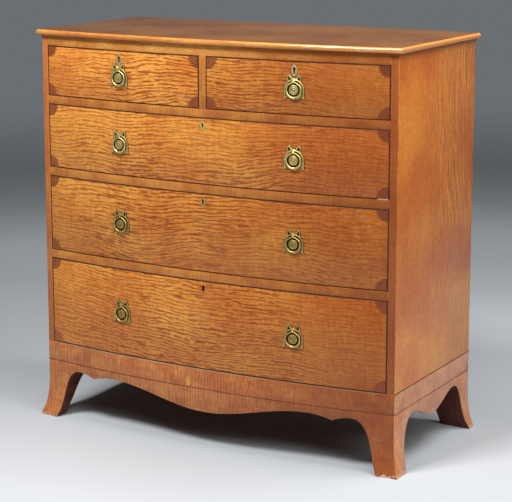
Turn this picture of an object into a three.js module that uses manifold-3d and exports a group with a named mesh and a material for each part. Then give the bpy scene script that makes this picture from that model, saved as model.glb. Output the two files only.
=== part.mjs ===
// A bow front chest of drawers on splayed bracket feet: two short drawers over three long ones,
// each with a ring handle or a pair of them. Millimetres, +X to the right, +Y to the back, +Z up.
import * as THREE from 'three';
import Module from 'manifold-3d';
import { mergeVertices } from 'three/addons/utils/BufferGeometryUtils.js';

// Carcase
const CARCASE_WIDTH = 1040;
const CARCASE_DEPTH = 464;
const BOW_RISE = 40;
const SIDE_THICKNESS = 20;
const BACK_THICKNESS = 10;
const BACK_REBATE_WIDTH = 10;
const RAIL_DEPTH = 55;
const TOP_RAIL_HEIGHT = 21;
const DECK_RAIL_HEIGHT = 21;
const LONG_RAIL_HEIGHT = 22;
const DUST_BOARD_THICKNESS = 10;
const HOUSING_DEPTH = 6;
const BOTTOM_BOARD_THICKNESS = 18;
const PARTITION_THICKNESS = 20;

// Drawer openings, from the floor up
const LOWEST_OPENING = 234;
const THIRD_OPENING = 203;
const SECOND_OPENING = 171;
const SHORT_OPENING = 133;

// Top board
const TOP_THICKNESS = 21;
const TOP_OVERHANG = 12;
const TOP_BACK_OVERHANG = 4;
const TOP_EDGE_DEPTH = 6;
const TOP_EDGE_HEIGHT = 6;

// Base: band, apron and feet
const BASE_HEIGHT = 208;
const BAND_HEIGHT = 53;
const BASE_THICKNESS = 20;
const ARCH_MARGIN = 20;
const ARCH_REACH = 52;
const CUSP_DROP = 11;
const SWELL_REACH = 69;
const FRONT_DROP = 41;
const SIDE_DROP = 36;
const FRONT_FOOT_WIDTH = 57;
const REAR_FOOT_WIDTH = 45;
const REAR_BRACKET_TOE = 68;
const REAR_BRACKET_TOP = 133;
const FOOT_SPLAY = 19;
const SPLAY_HEIGHT = 150;
const INNER_SPLAY_SHARE = 0.4;

// Drawers
const FRONT_THICKNESS = 20;
const LINING_THICKNESS = 10;
const DRAWER_BOTTOM_THICKNESS = 6;
const DRAWER_BOTTOM_RAISE = 8;
const GROOVE_DEPTH = 4;
const FRONT_GROOVE_DEPTH = 6;
const LINING_DROP = 8;
const DRAWER_BACK_SPACE = 14;
const FRONT_GAP = 1;

// Handles
const HANDLE_DROP = 4;
const PLATE_THICKNESS = 1.5;
const PLATE_RADIUS = 22;
const BOSS_RADIUS = 11;
const BOSS_HEIGHT = 7.5;
const RIBBON_WIDTH = 4;
const RIBBON_SPREAD = 28.5;
const BOW_SPREAD = 15;
const BOW_HEIGHT = 40;
const BOW_KNOT_HEIGHT = 28;
const TAIL_DROP = 23;
const RING_RADIUS = 19.4;
const RING_THICK_RADIUS = 2.6;
const RING_THIN_RADIUS = 1.3;
const RING_STAND_OFF = 3.7;
const EYE_WIDTH = 4;
const EYE_RADIUS = 3.4;
const POST_RADIUS = 2.5;
const POST_REACH = 7;

// Shares of the handle's sizes: where the ribbons run, and the boss's turned outline
const STRAND_START_SHARES = [-0.72, 0.8];
const BOW_SIDE_SHARE = 1.2;
const TAIL_SPREAD_SHARES = [0.8, 0.98, 0.94];
const TAIL_SHOULDER_SHARE = 0.62;
const BOSS_SHARES = [[0, 0], [1, 0], [0.92, 0.45], [0.6, 0.6], [0.35, 1], [0, 1]];

// Clearances
const JOINT_GAP = 0.3;
const RUNNING_GAP = 0.3;
const EYE_GAP = 0.7;
const CUT_OVERRUN = 5;

// Sizes worked out from the ones above
const HALF_WIDTH = CARCASE_WIDTH / 2;
const HALF_CLEAR = HALF_WIDTH - SIDE_THICKNESS;
const BOW_RADIUS = (HALF_WIDTH ** 2 + BOW_RISE ** 2) / (2 * BOW_RISE);
const BOW_CENTRE = BOW_RADIUS - BOW_RISE;
const BAND_BOTTOM = BASE_HEIGHT - BAND_HEIGHT;
const ARCH_HEIGHT = BAND_BOTTOM - ARCH_MARGIN;
const THIRD_RAIL_BOTTOM = BASE_HEIGHT + LOWEST_OPENING;
const THIRD_RAIL_TOP = THIRD_RAIL_BOTTOM + LONG_RAIL_HEIGHT;
const SECOND_RAIL_BOTTOM = THIRD_RAIL_TOP + THIRD_OPENING;
const SECOND_RAIL_TOP = SECOND_RAIL_BOTTOM + LONG_RAIL_HEIGHT;
const DECK_BOTTOM = SECOND_RAIL_TOP + SECOND_OPENING;
const DECK_TOP = DECK_BOTTOM + DECK_RAIL_HEIGHT;
const TOP_RAIL_BOTTOM = DECK_TOP + SHORT_OPENING;
const CARCASE_TOP = TOP_RAIL_BOTTOM + TOP_RAIL_HEIGHT;
const BACK_FACE = CARCASE_DEPTH - BACK_THICKNESS;
const BOARD_BACK = BACK_FACE - JOINT_GAP;
const DRAWER_BACK = BACK_FACE - DRAWER_BACK_SPACE;
const PARTITION_FACE = PARTITION_THICKNESS / 2;

// Counts and shape powers
const BOW_STEPS = 20;
const CURVE_STEPS = 6;
const SPLAY_POWER = 4;
const ARCH_POWER = 3;
const FOOT_LEVELS = 9;
const RING_STEPS = 24;
const RING_SIDES = 6;
const RING_TAPER_POWER = 0.5;
const TOP_EDGE_STEPS = 3;
const PARTITION_STEPS = 2;
const ROUND_SIDES = 10;
const PLATE_SIDES = 20;

// Finishes, with the colours of the old polished wood and brass
const finish = (colour, roughness, metalness = 0) => new THREE.MeshStandardMaterial({
  color: colour,
  roughness,
  metalness,
});
const satinwood = () => finish(0xc98442, 0.35);
const crossbanding = () => finish(0xb97445, 0.38);
const topWood = () => finish(0xa06a42, 0.3);
const mahogany = () => finish(0x7a4326, 0.6);
const oak = () => finish(0xa8845a, 0.7);
const brass = () => finish(0xb39a58, 0.35, 1);

// Joining and cutting closed solids
const wasm = await Module();
wasm.setup();

function toSolid(geometry) {
  const bare = geometry.clone();
  bare.deleteAttribute('normal');
  bare.deleteAttribute('uv');
  const merged = mergeVertices(bare);
  return new wasm.Manifold(new wasm.Mesh({
    numProp: 3,
    vertProperties: Float32Array.from(merged.attributes.position.array),
    triVerts: Uint32Array.from(merged.index.array),
  }));
}

function toGeometry(solid) {
  const mesh = solid.getMesh();
  const geometry = new THREE.BufferGeometry();
  geometry.setAttribute('position', new THREE.BufferAttribute(Float32Array.from(mesh.vertProperties), 3));
  geometry.setIndex(Array.from(mesh.triVerts));
  geometry.computeVertexNormals();
  return geometry;
}

const join = (...geometries) => toGeometry(geometries.map(toSolid).reduce((sum, next) => sum.add(next)));
const cut = (geometry, ...cutters) => toGeometry(
  cutters.map(toSolid).reduce((rest, cutter) => rest.subtract(cutter), toSolid(geometry)),
);
const common = (a, b) => toGeometry(toSolid(a).intersect(toSolid(b)));

// Outlines are lists of [across, along] pairs, raised into boards in one of three directions
const outline = (points) => new THREE.Shape(points.map(([a, b]) => new THREE.Vector2(a, b)));

function raised(points, bottom, top) {
  const geometry = new THREE.ExtrudeGeometry(outline(points), { depth: top - bottom, bevelEnabled: false });
  return geometry.translate(0, 0, bottom);
}

// An outline of [x, z] pairs, given its thickness from front to back
function throughDepth(points, front, back) {
  const geometry = new THREE.ExtrudeGeometry(outline(points), { depth: back - front, bevelEnabled: false });
  return geometry.rotateX(Math.PI / 2).translate(0, back, 0);
}

// An outline of [y, z] pairs, given its thickness from left to right
function throughWidth(points, left, right) {
  const geometry = new THREE.ExtrudeGeometry(outline(points), { depth: right - left, bevelEnabled: false });
  const turn = new THREE.Matrix4().makeBasis(
    new THREE.Vector3(0, 1, 0),
    new THREE.Vector3(0, 0, 1),
    new THREE.Vector3(1, 0, 0),
  );
  return geometry.applyMatrix4(turn).translate(left, 0, 0);
}

const block = (left, right, front, back, bottom, top) => raised(
  [[left, front], [right, front], [right, back], [left, back]],
  bottom,
  top,
);

// The bow is part of one circle, and boards behind the face follow it at an inset
const bowFace = (x, inset = 0) => BOW_CENTRE - Math.sqrt((BOW_RADIUS - inset) ** 2 - x ** 2);

function bowLine(from, to, inset = 0, steps = BOW_STEPS) {
  return Array.from({ length: steps + 1 }, (_, i) => {
    const x = from + ((to - from) * i) / steps;
    return [x, bowFace(x, inset)];
  });
}

function bowedStrip(left, right, inset, depth, bottom, top, steps = BOW_STEPS) {
  const front = bowLine(left, right, inset, steps);
  const back = bowLine(right, left, inset + depth, steps);
  return raised([...front, ...back], bottom, top);
}

function bowedBoard(left, right, inset, back, bottom, top, steps = BOW_STEPS) {
  return raised([...bowLine(left, right, inset, steps), [right, back], [left, back]], bottom, top);
}

const mirrored = (points) => points.map(([a, b]) => [-a, b]).reverse();

// The whole chest stands in one group, moved so that the middle of its plan is the origin
const chest = new THREE.Group();
const FRONT_EXTENT = -(BOW_RISE + TOP_OVERHANG);
const BACK_EXTENT = CARCASE_DEPTH + TOP_BACK_OVERHANG;
chest.position.y = -(FRONT_EXTENT + BACK_EXTENT) / 2;

function add(name, geometry, material, parent = chest) {
  const mesh = new THREE.Mesh(geometry, material);
  mesh.name = name;
  parent.add(mesh);
  return mesh;
}

// Carcase sides, rebated for the back and housed for the boards that the drawers run on
const housedBoardTops = [THIRD_RAIL_TOP, SECOND_RAIL_TOP, DECK_TOP];

function carcaseSide() {
  const rebateFace = HALF_CLEAR + BACK_REBATE_WIDTH;
  const plan = [
    [HALF_CLEAR, bowFace(HALF_CLEAR)],
    [HALF_WIDTH, 0],
    [HALF_WIDTH, CARCASE_DEPTH],
    [rebateFace, CARCASE_DEPTH],
    [rebateFace, BOARD_BACK],
    [HALF_CLEAR, BOARD_BACK],
  ];
  const housings = housedBoardTops.map((top) => block(
    HALF_CLEAR - CUT_OVERRUN,
    HALF_CLEAR + HOUSING_DEPTH,
    RAIL_DEPTH,
    BACK_FACE,
    top - DUST_BOARD_THICKNESS - JOINT_GAP,
    top + JOINT_GAP,
  ));
  return cut(raised(plan, BASE_HEIGHT, CARCASE_TOP), ...housings);
}

function flipped(geometry) {
  const copy = geometry.clone().scale(-1, 1, 1);
  const order = Array.from(copy.index.array);
  for (let i = 0; i < order.length; i += 3) {
    [order[i], order[i + 1]] = [order[i + 1], order[i]];
  }
  copy.setIndex(order);
  copy.computeVertexNormals();
  return copy;
}

add('carcase_side_right', carcaseSide(), satinwood());
add('carcase_side_left', flipped(carcaseSide()), satinwood());

const backHalf = HALF_CLEAR + BACK_REBATE_WIDTH - JOINT_GAP;
add('back_panel', block(-backHalf, backHalf, BACK_FACE, CARCASE_DEPTH, BASE_HEIGHT, CARCASE_TOP), mahogany());

add('bottom_board', bowedBoard(
  -HALF_CLEAR,
  HALF_CLEAR,
  BASE_THICKNESS + JOINT_GAP,
  CARCASE_DEPTH,
  BASE_HEIGHT - BOTTOM_BOARD_THICKNESS,
  BASE_HEIGHT,
), mahogany());

// Top board, with its rounded edge kept off the back
function topBoard() {
  const edge = HALF_WIDTH + TOP_OVERHANG - TOP_EDGE_DEPTH;
  const inset = TOP_EDGE_DEPTH - TOP_OVERHANG;
  const backEdge = BACK_EXTENT + CUT_OVERRUN;
  const plan = [...bowLine(-edge, edge, inset), [edge, backEdge], [-edge, backEdge]];
  const rounded = new THREE.ExtrudeGeometry(outline(plan), {
    depth: TOP_THICKNESS - 2 * TOP_EDGE_HEIGHT,
    bevelThickness: TOP_EDGE_HEIGHT,
    bevelSize: TOP_EDGE_DEPTH,
    bevelSegments: TOP_EDGE_STEPS,
  });
  rounded.translate(0, 0, CARCASE_TOP + TOP_EDGE_HEIGHT);
  const sideExtent = HALF_WIDTH + TOP_OVERHANG + CUT_OVERRUN;
  const keep = block(
    -sideExtent,
    sideExtent,
    FRONT_EXTENT - CUT_OVERRUN,
    BACK_EXTENT,
    CARCASE_TOP - CUT_OVERRUN,
    CARCASE_TOP + TOP_THICKNESS + CUT_OVERRUN,
  );
  return common(rounded, keep);
}
add('top_board', topBoard(), topWood());

// Rails and the boards behind them
const housedHalf = HALF_CLEAR + HOUSING_DEPTH - JOINT_GAP;
const rail = (bottom, top) => bowedBoard(-HALF_CLEAR, HALF_CLEAR, 0, RAIL_DEPTH, bottom, top);
const dustBoard = (front, top) => block(
  -housedHalf,
  housedHalf,
  front,
  BOARD_BACK,
  top - DUST_BOARD_THICKNESS,
  top,
);

add('top_rail', rail(TOP_RAIL_BOTTOM, CARCASE_TOP), crossbanding());
add('short_drawer_deck', join(
  rail(DECK_BOTTOM, DECK_TOP),
  dustBoard(RAIL_DEPTH + JOINT_GAP, DECK_TOP),
  block(-HALF_CLEAR, HALF_CLEAR, 0, RAIL_DEPTH + CUT_OVERRUN, DECK_TOP - DUST_BOARD_THICKNESS, DECK_TOP),
), crossbanding());
add('rail_2', rail(SECOND_RAIL_BOTTOM, SECOND_RAIL_TOP), crossbanding());
add('dust_board_2', dustBoard(RAIL_DEPTH + JOINT_GAP, SECOND_RAIL_TOP), mahogany());
add('rail_3', rail(THIRD_RAIL_BOTTOM, THIRD_RAIL_TOP), crossbanding());
add('dust_board_3', dustBoard(RAIL_DEPTH + JOINT_GAP, THIRD_RAIL_TOP), mahogany());
add('partition', bowedBoard(
  -PARTITION_FACE,
  PARTITION_FACE,
  0,
  BOARD_BACK,
  DECK_TOP,
  TOP_RAIL_BOTTOM,
  PARTITION_STEPS,
), crossbanding());

// Feet: the splay grows towards the floor, and each arch springs from the inner edge of a foot
const splayAt = (height) => FOOT_SPLAY * Math.max(0, 1 - height / SPLAY_HEIGHT) ** SPLAY_POWER;

function footReach(width, height) {
  const share = Math.min(1, height / ARCH_HEIGHT);
  return width - splayAt(height) + ARCH_REACH * (1 - Math.sqrt(1 - share ** ARCH_POWER));
}

const footHeights = Array.from(
  { length: FOOT_LEVELS + 1 },
  (_, i) => ARCH_HEIGHT * Math.sin(((i / FOOT_LEVELS) * Math.PI) / 2),
);
footHeights.push(BAND_BOTTOM);

function frontFootSection(height) {
  const splay = splayAt(height);
  const inner = splay * INNER_SPLAY_SHARE;
  const reach = footReach(FRONT_FOOT_WIDTH, height);
  const wing = HALF_WIDTH - reach;
  const innerFace = HALF_CLEAR + inner;
  const outer = bowLine(wing, HALF_WIDTH + splay, 0, CURVE_STEPS).map(([x]) => {
    const y = x < HALF_WIDTH ? bowFace(x) : 0;
    return [x, y - splay];
  });
  return [
    ...outer,
    [HALF_WIDTH + splay, reach],
    [innerFace, reach],
    [innerFace, bowFace(HALF_CLEAR, BASE_THICKNESS) - inner],
    [wing, bowFace(wing, BASE_THICKNESS) - inner],
  ];
}

function rearFootSection(height) {
  const splay = splayAt(height);
  const inner = splay * INNER_SPLAY_SHARE;
  const reach = CARCASE_DEPTH - footReach(REAR_FOOT_WIDTH, height);
  const bracket = REAR_BRACKET_TOE + ((REAR_BRACKET_TOP - REAR_BRACKET_TOE) * height) / BAND_BOTTOM;
  const bracketFront = CARCASE_DEPTH - BASE_THICKNESS;
  return [
    [HALF_WIDTH + splay, reach],
    [HALF_WIDTH + splay, CARCASE_DEPTH],
    [HALF_WIDTH - bracket, CARCASE_DEPTH],
    [HALF_WIDTH - bracket, bracketFront],
    [HALF_CLEAR + inner, bracketFront],
    [HALF_CLEAR + inner, reach],
  ];
}

// A closed skin over sections that all have the same number of corners, from the floor up
function lofted(sectionAt, heights) {
  const sections = heights.map(sectionAt);
  const corners = sections[0].length;
  const positions = sections.flatMap((section, level) => section.flatMap(([x, y]) => [x, y, heights[level]]));
  const index = [];
  for (let level = 0; level + 1 < sections.length; level += 1) {
    for (let i = 0; i < corners; i += 1) {
      const a = level * corners + i;
      const b = level * corners + ((i + 1) % corners);
      index.push(a, b, b + corners, a, b + corners, a + corners);
    }
  }
  const lid = (section) => THREE.ShapeUtils.triangulateShape(section.map(([x, y]) => new THREE.Vector2(x, y)), []);
  const last = (sections.length - 1) * corners;
  lid(sections[0]).forEach(([a, b, c]) => index.push(a, c, b));
  lid(sections.at(-1)).forEach(([a, b, c]) => index.push(last + a, last + b, last + c));
  const geometry = new THREE.BufferGeometry();
  geometry.setAttribute('position', new THREE.Float32BufferAttribute(positions, 3));
  geometry.setIndex(index);
  geometry.computeVertexNormals();
  return geometry;
}

// The rear bracket runs on up between the base sides to the bottom board
const bracketHead = block(
  HALF_WIDTH - REAR_BRACKET_TOP,
  HALF_CLEAR - JOINT_GAP,
  CARCASE_DEPTH - BASE_THICKNESS,
  CARCASE_DEPTH,
  BAND_BOTTOM,
  BASE_HEIGHT - BOTTOM_BOARD_THICKNESS,
);
const frontFoot = lofted(frontFootSection, footHeights);
const rearFoot = join(lofted(rearFootSection, footHeights), bracketHead);
add('foot_front_right', frontFoot, crossbanding());
add('foot_front_left', flipped(frontFoot), crossbanding());
add('foot_back_right', rearFoot, crossbanding());
add('foot_back_left', flipped(rearFoot), crossbanding());

// Base boards: the band, with an apron below it that falls from the arches in curves
const half = (cosine) => (1 - cosine) / 2;
const spaced = (count, place) => Array.from({ length: count }, (_, i) => place((i + 1) / count));

function frontApronHalf() {
  const wing = HALF_WIDTH - FRONT_FOOT_WIDTH - ARCH_REACH - JOINT_GAP;
  const cusp = wing - ARCH_REACH;
  const swell = cusp - SWELL_REACH;
  return [
    [HALF_WIDTH, BAND_BOTTOM],
    [wing, BAND_BOTTOM],
    [wing, ARCH_HEIGHT],
    ...spaced(CURVE_STEPS, (t) => [wing - ARCH_REACH * t, ARCH_HEIGHT - CUSP_DROP * t ** 2]),
    ...spaced(CURVE_STEPS, (t) => [cusp - SWELL_REACH * t, ARCH_HEIGHT - CUSP_DROP * (1 - t) ** 2]),
    ...spaced(2 * CURVE_STEPS, (t) => [swell * (1 - t), ARCH_HEIGHT - FRONT_DROP * half(Math.cos(Math.PI * t))]),
  ];
}

function baseFront() {
  const right = frontApronHalf();
  const left = mirrored(right.slice(0, -1));
  const elevation = [[HALF_WIDTH, BASE_HEIGHT], ...right, ...left, [-HALF_WIDTH, BASE_HEIGHT]];
  const face = throughDepth(elevation, -BOW_RISE - CUT_OVERRUN, RAIL_DEPTH);
  const plan = [
    ...bowLine(-HALF_WIDTH, HALF_WIDTH),
    ...bowLine(HALF_CLEAR, -HALF_CLEAR, BASE_THICKNESS),
  ];
  return common(face, raised(plan, 0, BASE_HEIGHT));
}
add('base_front', baseFront(), crossbanding());

function baseSide() {
  const front = FRONT_FOOT_WIDTH + ARCH_REACH + JOINT_GAP;
  const rear = CARCASE_DEPTH - REAR_FOOT_WIDTH - ARCH_REACH - JOINT_GAP;
  const count = 4 * CURVE_STEPS;
  const wave = spaced(count - 1, (t) => {
    const along = (t * (count - 1)) / count;
    const drop = SIDE_DROP * half(Math.cos(2 * Math.PI * along));
    return [front + (rear - front) * along, ARCH_HEIGHT - drop];
  });
  const elevation = [
    [-CUT_OVERRUN, BASE_HEIGHT],
    [-CUT_OVERRUN, BAND_BOTTOM],
    [front, BAND_BOTTOM],
    [front, ARCH_HEIGHT],
    ...wave,
    [rear, ARCH_HEIGHT],
    [rear, BAND_BOTTOM],
    [CARCASE_DEPTH, BAND_BOTTOM],
    [CARCASE_DEPTH, BASE_HEIGHT],
  ];
  const plan = [
    [HALF_WIDTH, JOINT_GAP],
    [HALF_WIDTH, CARCASE_DEPTH],
    [HALF_CLEAR, CARCASE_DEPTH],
    [HALF_CLEAR, bowFace(HALF_CLEAR, BASE_THICKNESS) + JOINT_GAP],
  ];
  return common(throughWidth(elevation, HALF_CLEAR, HALF_WIDTH), raised(plan, 0, BASE_HEIGHT));
}
add('base_side_right', baseSide(), crossbanding());
add('base_side_left', flipped(baseSide()), crossbanding());

// Handle backplate: a dished disc between crossing ribbons, a boss, an eye for the ring and a post
function ribbon(points) {
  const curve = new THREE.SplineCurve(points.map(([x, z]) => new THREE.Vector2(x, z)));
  const count = 2 * points.length - 1;
  const sideOf = (direction) => Array.from({ length: count + 1 }, (_, i) => {
    const place = curve.getPoint(i / count);
    const heading = curve.getTangent(i / count);
    const offset = (direction * RIBBON_WIDTH) / 2;
    return [place.x - heading.y * offset, place.y + heading.x * offset];
  });
  return throughDepth([...sideOf(1), ...sideOf(-1).reverse()], -JOINT_GAP - PLATE_THICKNESS, -JOINT_GAP);
}

function roundBar(radius, length, sides = ROUND_SIDES) {
  return new THREE.CylinderGeometry(radius, radius, length, sides);
}

const ringAxisDepth = -JOINT_GAP - PLATE_THICKNESS - RING_STAND_OFF;

function backplate() {
  const plateMiddle = -JOINT_GAP - PLATE_THICKNESS / 2;
  const strand = [
    STRAND_START_SHARES.map((share) => share * PLATE_RADIUS),
    [0, BOW_KNOT_HEIGHT],
    [BOW_SPREAD, BOW_HEIGHT],
  ];
  const [shoulder, waist, tip] = TAIL_SPREAD_SHARES.map((share) => share * RIBBON_SPREAD);
  const tail = [
    [BOW_SPREAD, BOW_HEIGHT],
    [BOW_SPREAD * BOW_SIDE_SHARE, BOW_KNOT_HEIGHT],
    [shoulder, PLATE_RADIUS * TAIL_SHOULDER_SHARE],
    [waist, 0],
    [tip, -TAIL_DROP],
  ];
  const disc = roundBar(PLATE_RADIUS, PLATE_THICKNESS, PLATE_SIDES).translate(0, plateMiddle, 0);
  const bossOutline = BOSS_SHARES.map(([r, h]) => new THREE.Vector2(r * BOSS_RADIUS, h * BOSS_HEIGHT));
  const boss = new THREE.LatheGeometry(bossOutline, ROUND_SIDES).rotateX(Math.PI);
  boss.translate(0, plateMiddle, 0);
  const eye = roundBar(EYE_RADIUS, EYE_WIDTH).rotateZ(Math.PI / 2).translate(0, ringAxisDepth, RING_RADIUS);
  const web = block(-EYE_WIDTH / 2, EYE_WIDTH / 2, ringAxisDepth, plateMiddle, -EYE_RADIUS, EYE_RADIUS);
  web.translate(0, 0, RING_RADIUS);
  const postLength = FRONT_THICKNESS + POST_REACH - plateMiddle;
  const post = roundBar(POST_RADIUS, postLength).translate(0, plateMiddle + postLength / 2, 0);
  const bore = roundBar(RING_THIN_RADIUS + EYE_GAP, EYE_WIDTH + CUT_OVERRUN).rotateZ(Math.PI / 2);
  bore.translate(0, ringAxisDepth, RING_RADIUS);
  const solid = join(
    disc,
    ribbon(strand),
    ribbon(mirrored(strand)),
    ribbon(tail),
    ribbon(mirrored(tail)),
    boss,
    eye,
    web,
    post,
  );
  return cut(solid, bore);
}

// The ring is thin where it hangs in the eye and thick at its foot
function ring() {
  const positions = [];
  const index = [];
  for (let i = 0; i < RING_STEPS; i += 1) {
    const turn = (i / RING_STEPS) * 2 * Math.PI;
    const thickness = RING_THIN_RADIUS + (RING_THICK_RADIUS - RING_THIN_RADIUS) * half(Math.cos(turn)) ** RING_TAPER_POWER;
    for (let j = 0; j < RING_SIDES; j += 1) {
      const around = (j / RING_SIDES) * 2 * Math.PI;
      const reach = RING_RADIUS + thickness * Math.cos(around);
      positions.push(reach * Math.sin(turn), thickness * Math.sin(around), reach * Math.cos(turn) - RING_RADIUS);
      const next = (j + 1) % RING_SIDES;
      const ahead = ((i + 1) % RING_STEPS) * RING_SIDES;
      const here = i * RING_SIDES;
      index.push(here + j, ahead + j, here + next, here + next, ahead + j, ahead + next);
    }
  }
  const geometry = new THREE.BufferGeometry();
  geometry.setAttribute('position', new THREE.Float32BufferAttribute(positions, 3));
  geometry.setIndex(index);
  geometry.computeVertexNormals();
  return geometry;
}

function addHandle(name, x, z) {
  const place = new THREE.Group();
  place.position.set(x, bowFace(x), z);
  place.rotation.z = Math.asin(x / BOW_RADIUS);
  chest.add(place);
  add(`${name}_backplate`, backplate(), brass(), place);
  const bail = add(`${name}_ring`, ring(), brass(), place);
  bail.position.set(0, ringAxisDepth, RING_RADIUS);
}

// Drawers: a bowed front, two sides and a back, with a bottom let into grooves
function postHole(x, z) {
  const hole = roundBar(POST_RADIUS + JOINT_GAP, 2 * FRONT_THICKNESS + CUT_OVERRUN);
  return hole.rotateZ(Math.asin(x / BOW_RADIUS)).translate(x, bowFace(x), z);
}

function addDrawer({ name, left, right, bottom, top, handles }) {
  const faceLeft = left + FRONT_GAP;
  const faceRight = right - FRONT_GAP;
  const liningLeft = faceLeft + LINING_THICKNESS;
  const liningRight = faceRight - LINING_THICKNESS;
  const liningBottom = bottom + RUNNING_GAP;
  const liningTop = top - LINING_DROP;
  const bottomLow = liningBottom + DRAWER_BOTTOM_RAISE;
  const bottomHigh = bottomLow + DRAWER_BOTTOM_THICKNESS;
  const handleHeight = (bottom + top) / 2 - HANDLE_DROP;
  const grooveLeft = liningLeft - GROOVE_DEPTH;
  const grooveRight = liningRight + GROOVE_DEPTH;

  const groove = bowedBoard(
    grooveLeft,
    grooveRight,
    FRONT_THICKNESS - FRONT_GROOVE_DEPTH,
    DRAWER_BACK + CUT_OVERRUN,
    bottomLow - JOINT_GAP,
    bottomHigh + JOINT_GAP,
  );
  const front = bowedStrip(faceLeft, faceRight, 0, FRONT_THICKNESS, bottom + FRONT_GAP, top - FRONT_GAP);
  const holes = handles.map((x) => postHole(x, handleHeight));
  add(`${name}_front`, cut(front, groove, ...holes), satinwood());

  const lining = (outer, inner) => {
    const inset = FRONT_THICKNESS + JOINT_GAP;
    const plan = [
      [outer, bowFace(outer, inset)],
      [inner, bowFace(inner, inset)],
      [inner, DRAWER_BACK],
      [outer, DRAWER_BACK],
    ];
    return cut(raised(plan, liningBottom, liningTop), groove);
  };
  add(`${name}_side_left`, lining(faceLeft, liningLeft), oak());
  add(`${name}_side_right`, lining(faceRight, liningRight), oak());
  add(`${name}_back`, block(
    liningLeft,
    liningRight,
    DRAWER_BACK - LINING_THICKNESS,
    DRAWER_BACK,
    bottomHigh,
    liningTop,
  ), oak());
  add(`${name}_bottom`, bowedBoard(
    grooveLeft + JOINT_GAP,
    grooveRight - JOINT_GAP,
    FRONT_THICKNESS - FRONT_GROOVE_DEPTH + JOINT_GAP,
    DRAWER_BACK,
    bottomLow,
    bottomHigh,
  ), oak());

  handles.forEach((x) => {
    const side = x < 0 ? 'left' : 'right';
    addHandle(handles.length > 1 ? `${name}_${side}` : name, x, handleHeight);
  });
}

// Handles stand over the middles of the short drawers, all the way down
const handlePlace = (PARTITION_FACE + HALF_CLEAR) / 2;
const longDrawer = (name, bottom, top) => addDrawer({
  name,
  left: -HALF_CLEAR,
  right: HALF_CLEAR,
  bottom,
  top,
  handles: [-handlePlace, handlePlace],
});

addDrawer({
  name: 'drawer_1_left',
  left: -HALF_CLEAR,
  right: -PARTITION_FACE,
  bottom: DECK_TOP,
  top: TOP_RAIL_BOTTOM,
  handles: [-handlePlace],
});
addDrawer({
  name: 'drawer_1_right',
  left: PARTITION_FACE,
  right: HALF_CLEAR,
  bottom: DECK_TOP,
  top: TOP_RAIL_BOTTOM,
  handles: [handlePlace],
});
longDrawer('drawer_2', SECOND_RAIL_TOP, DECK_BOTTOM);
longDrawer('drawer_3', THIRD_RAIL_TOP, SECOND_RAIL_BOTTOM);
longDrawer('drawer_4', BASE_HEIGHT, THIRD_RAIL_BOTTOM);

export default chest;
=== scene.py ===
# %% [markdown]
# # A bow front chest of drawers, dressed
# The CAD model gives every board its size and place. This lesson turns it into old polished furniture:
# the same boards with worn edges and figured veneer, inlaid lines and corner fans, keyholes with locks
# behind them, and ring handles of pressed brass. Everything is in metres, +X to the right of someone who
# faces the drawers, +Y to the back and +Z up.

import math

import bmesh
import bpy
from mathutils import Matrix, Vector


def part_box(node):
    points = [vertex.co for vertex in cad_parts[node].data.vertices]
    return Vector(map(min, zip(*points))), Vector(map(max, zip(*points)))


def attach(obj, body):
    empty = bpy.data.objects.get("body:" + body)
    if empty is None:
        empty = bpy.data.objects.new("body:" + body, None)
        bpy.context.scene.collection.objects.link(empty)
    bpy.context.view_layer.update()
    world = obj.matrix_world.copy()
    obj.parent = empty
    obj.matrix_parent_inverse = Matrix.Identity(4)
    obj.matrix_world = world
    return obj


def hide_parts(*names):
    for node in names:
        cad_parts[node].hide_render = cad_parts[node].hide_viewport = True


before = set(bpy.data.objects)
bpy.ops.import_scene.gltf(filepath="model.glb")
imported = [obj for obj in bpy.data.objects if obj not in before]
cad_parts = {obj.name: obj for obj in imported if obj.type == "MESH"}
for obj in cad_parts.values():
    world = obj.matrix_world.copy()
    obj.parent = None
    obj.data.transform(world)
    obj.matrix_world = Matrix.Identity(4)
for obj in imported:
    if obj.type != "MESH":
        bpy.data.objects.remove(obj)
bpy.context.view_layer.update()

# %% [markdown]
# ## Putting things in the scene
# A lamp and a piece of furniture get into the scene in the same way. Every mesh is drawn as a bmesh, and
# its operators give back what they made as one list of points, edges and faces, which has to be sorted.


# %% Scene helpers
VERT, EDGE, FACE = bmesh.types.BMVert, bmesh.types.BMEdge, bmesh.types.BMFace
FORWARDS, BACKWARDS, UPWARDS = (0, -1, 0), (0, 1, 0), (0, 0, 1)
FACING = Matrix.Rotation(math.radians(90), 4, "X")  # turns a shape that looks up so that it looks forwards


def in_scene(name, data):
    made = bpy.data.objects.new(name, data)
    bpy.context.scene.collection.objects.link(made)
    return made


def mesh_from(name, bm):
    mesh = bpy.data.meshes.new(name)
    bm.to_mesh(mesh)
    bm.free()
    return mesh


def only(kind, made):
    return [item for item in made if isinstance(item, kind)]


# %% [markdown]
# ## The camera
# A long lens from the right of the chest, a little above it, looking slightly down. A photographer's
# view camera keeps the upright edges parallel by sliding its lens, which is a vertical shift here. A
# large shift would push the chest out of other views, so most of it is traded for a small tilt.

# %% Camera
TILT, TURN = 10.57, 29.69  # degrees down and round
camera_data = bpy.data.cameras.new("camera")
camera_data.sensor_width = 36
camera_data.lens = 120.9
camera_data.shift_y = -0.1
camera = in_scene("camera", camera_data)
camera.location = (2.2244, -3.8792, 1.4448)
camera.rotation_euler = (math.radians(90 - TILT), 0, math.radians(TURN))
bpy.context.scene.camera = camera

# %% [markdown]
# ## Placing nodes in a tree
# A material is a tree of nodes. One helper adds a node with its settings and inputs, and small ones on
# top of it stand for the steps that every finish here is made of: mixing colours, doing sums, and
# easing a noise into a mask. A node joins the tree that its inputs come from.


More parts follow.
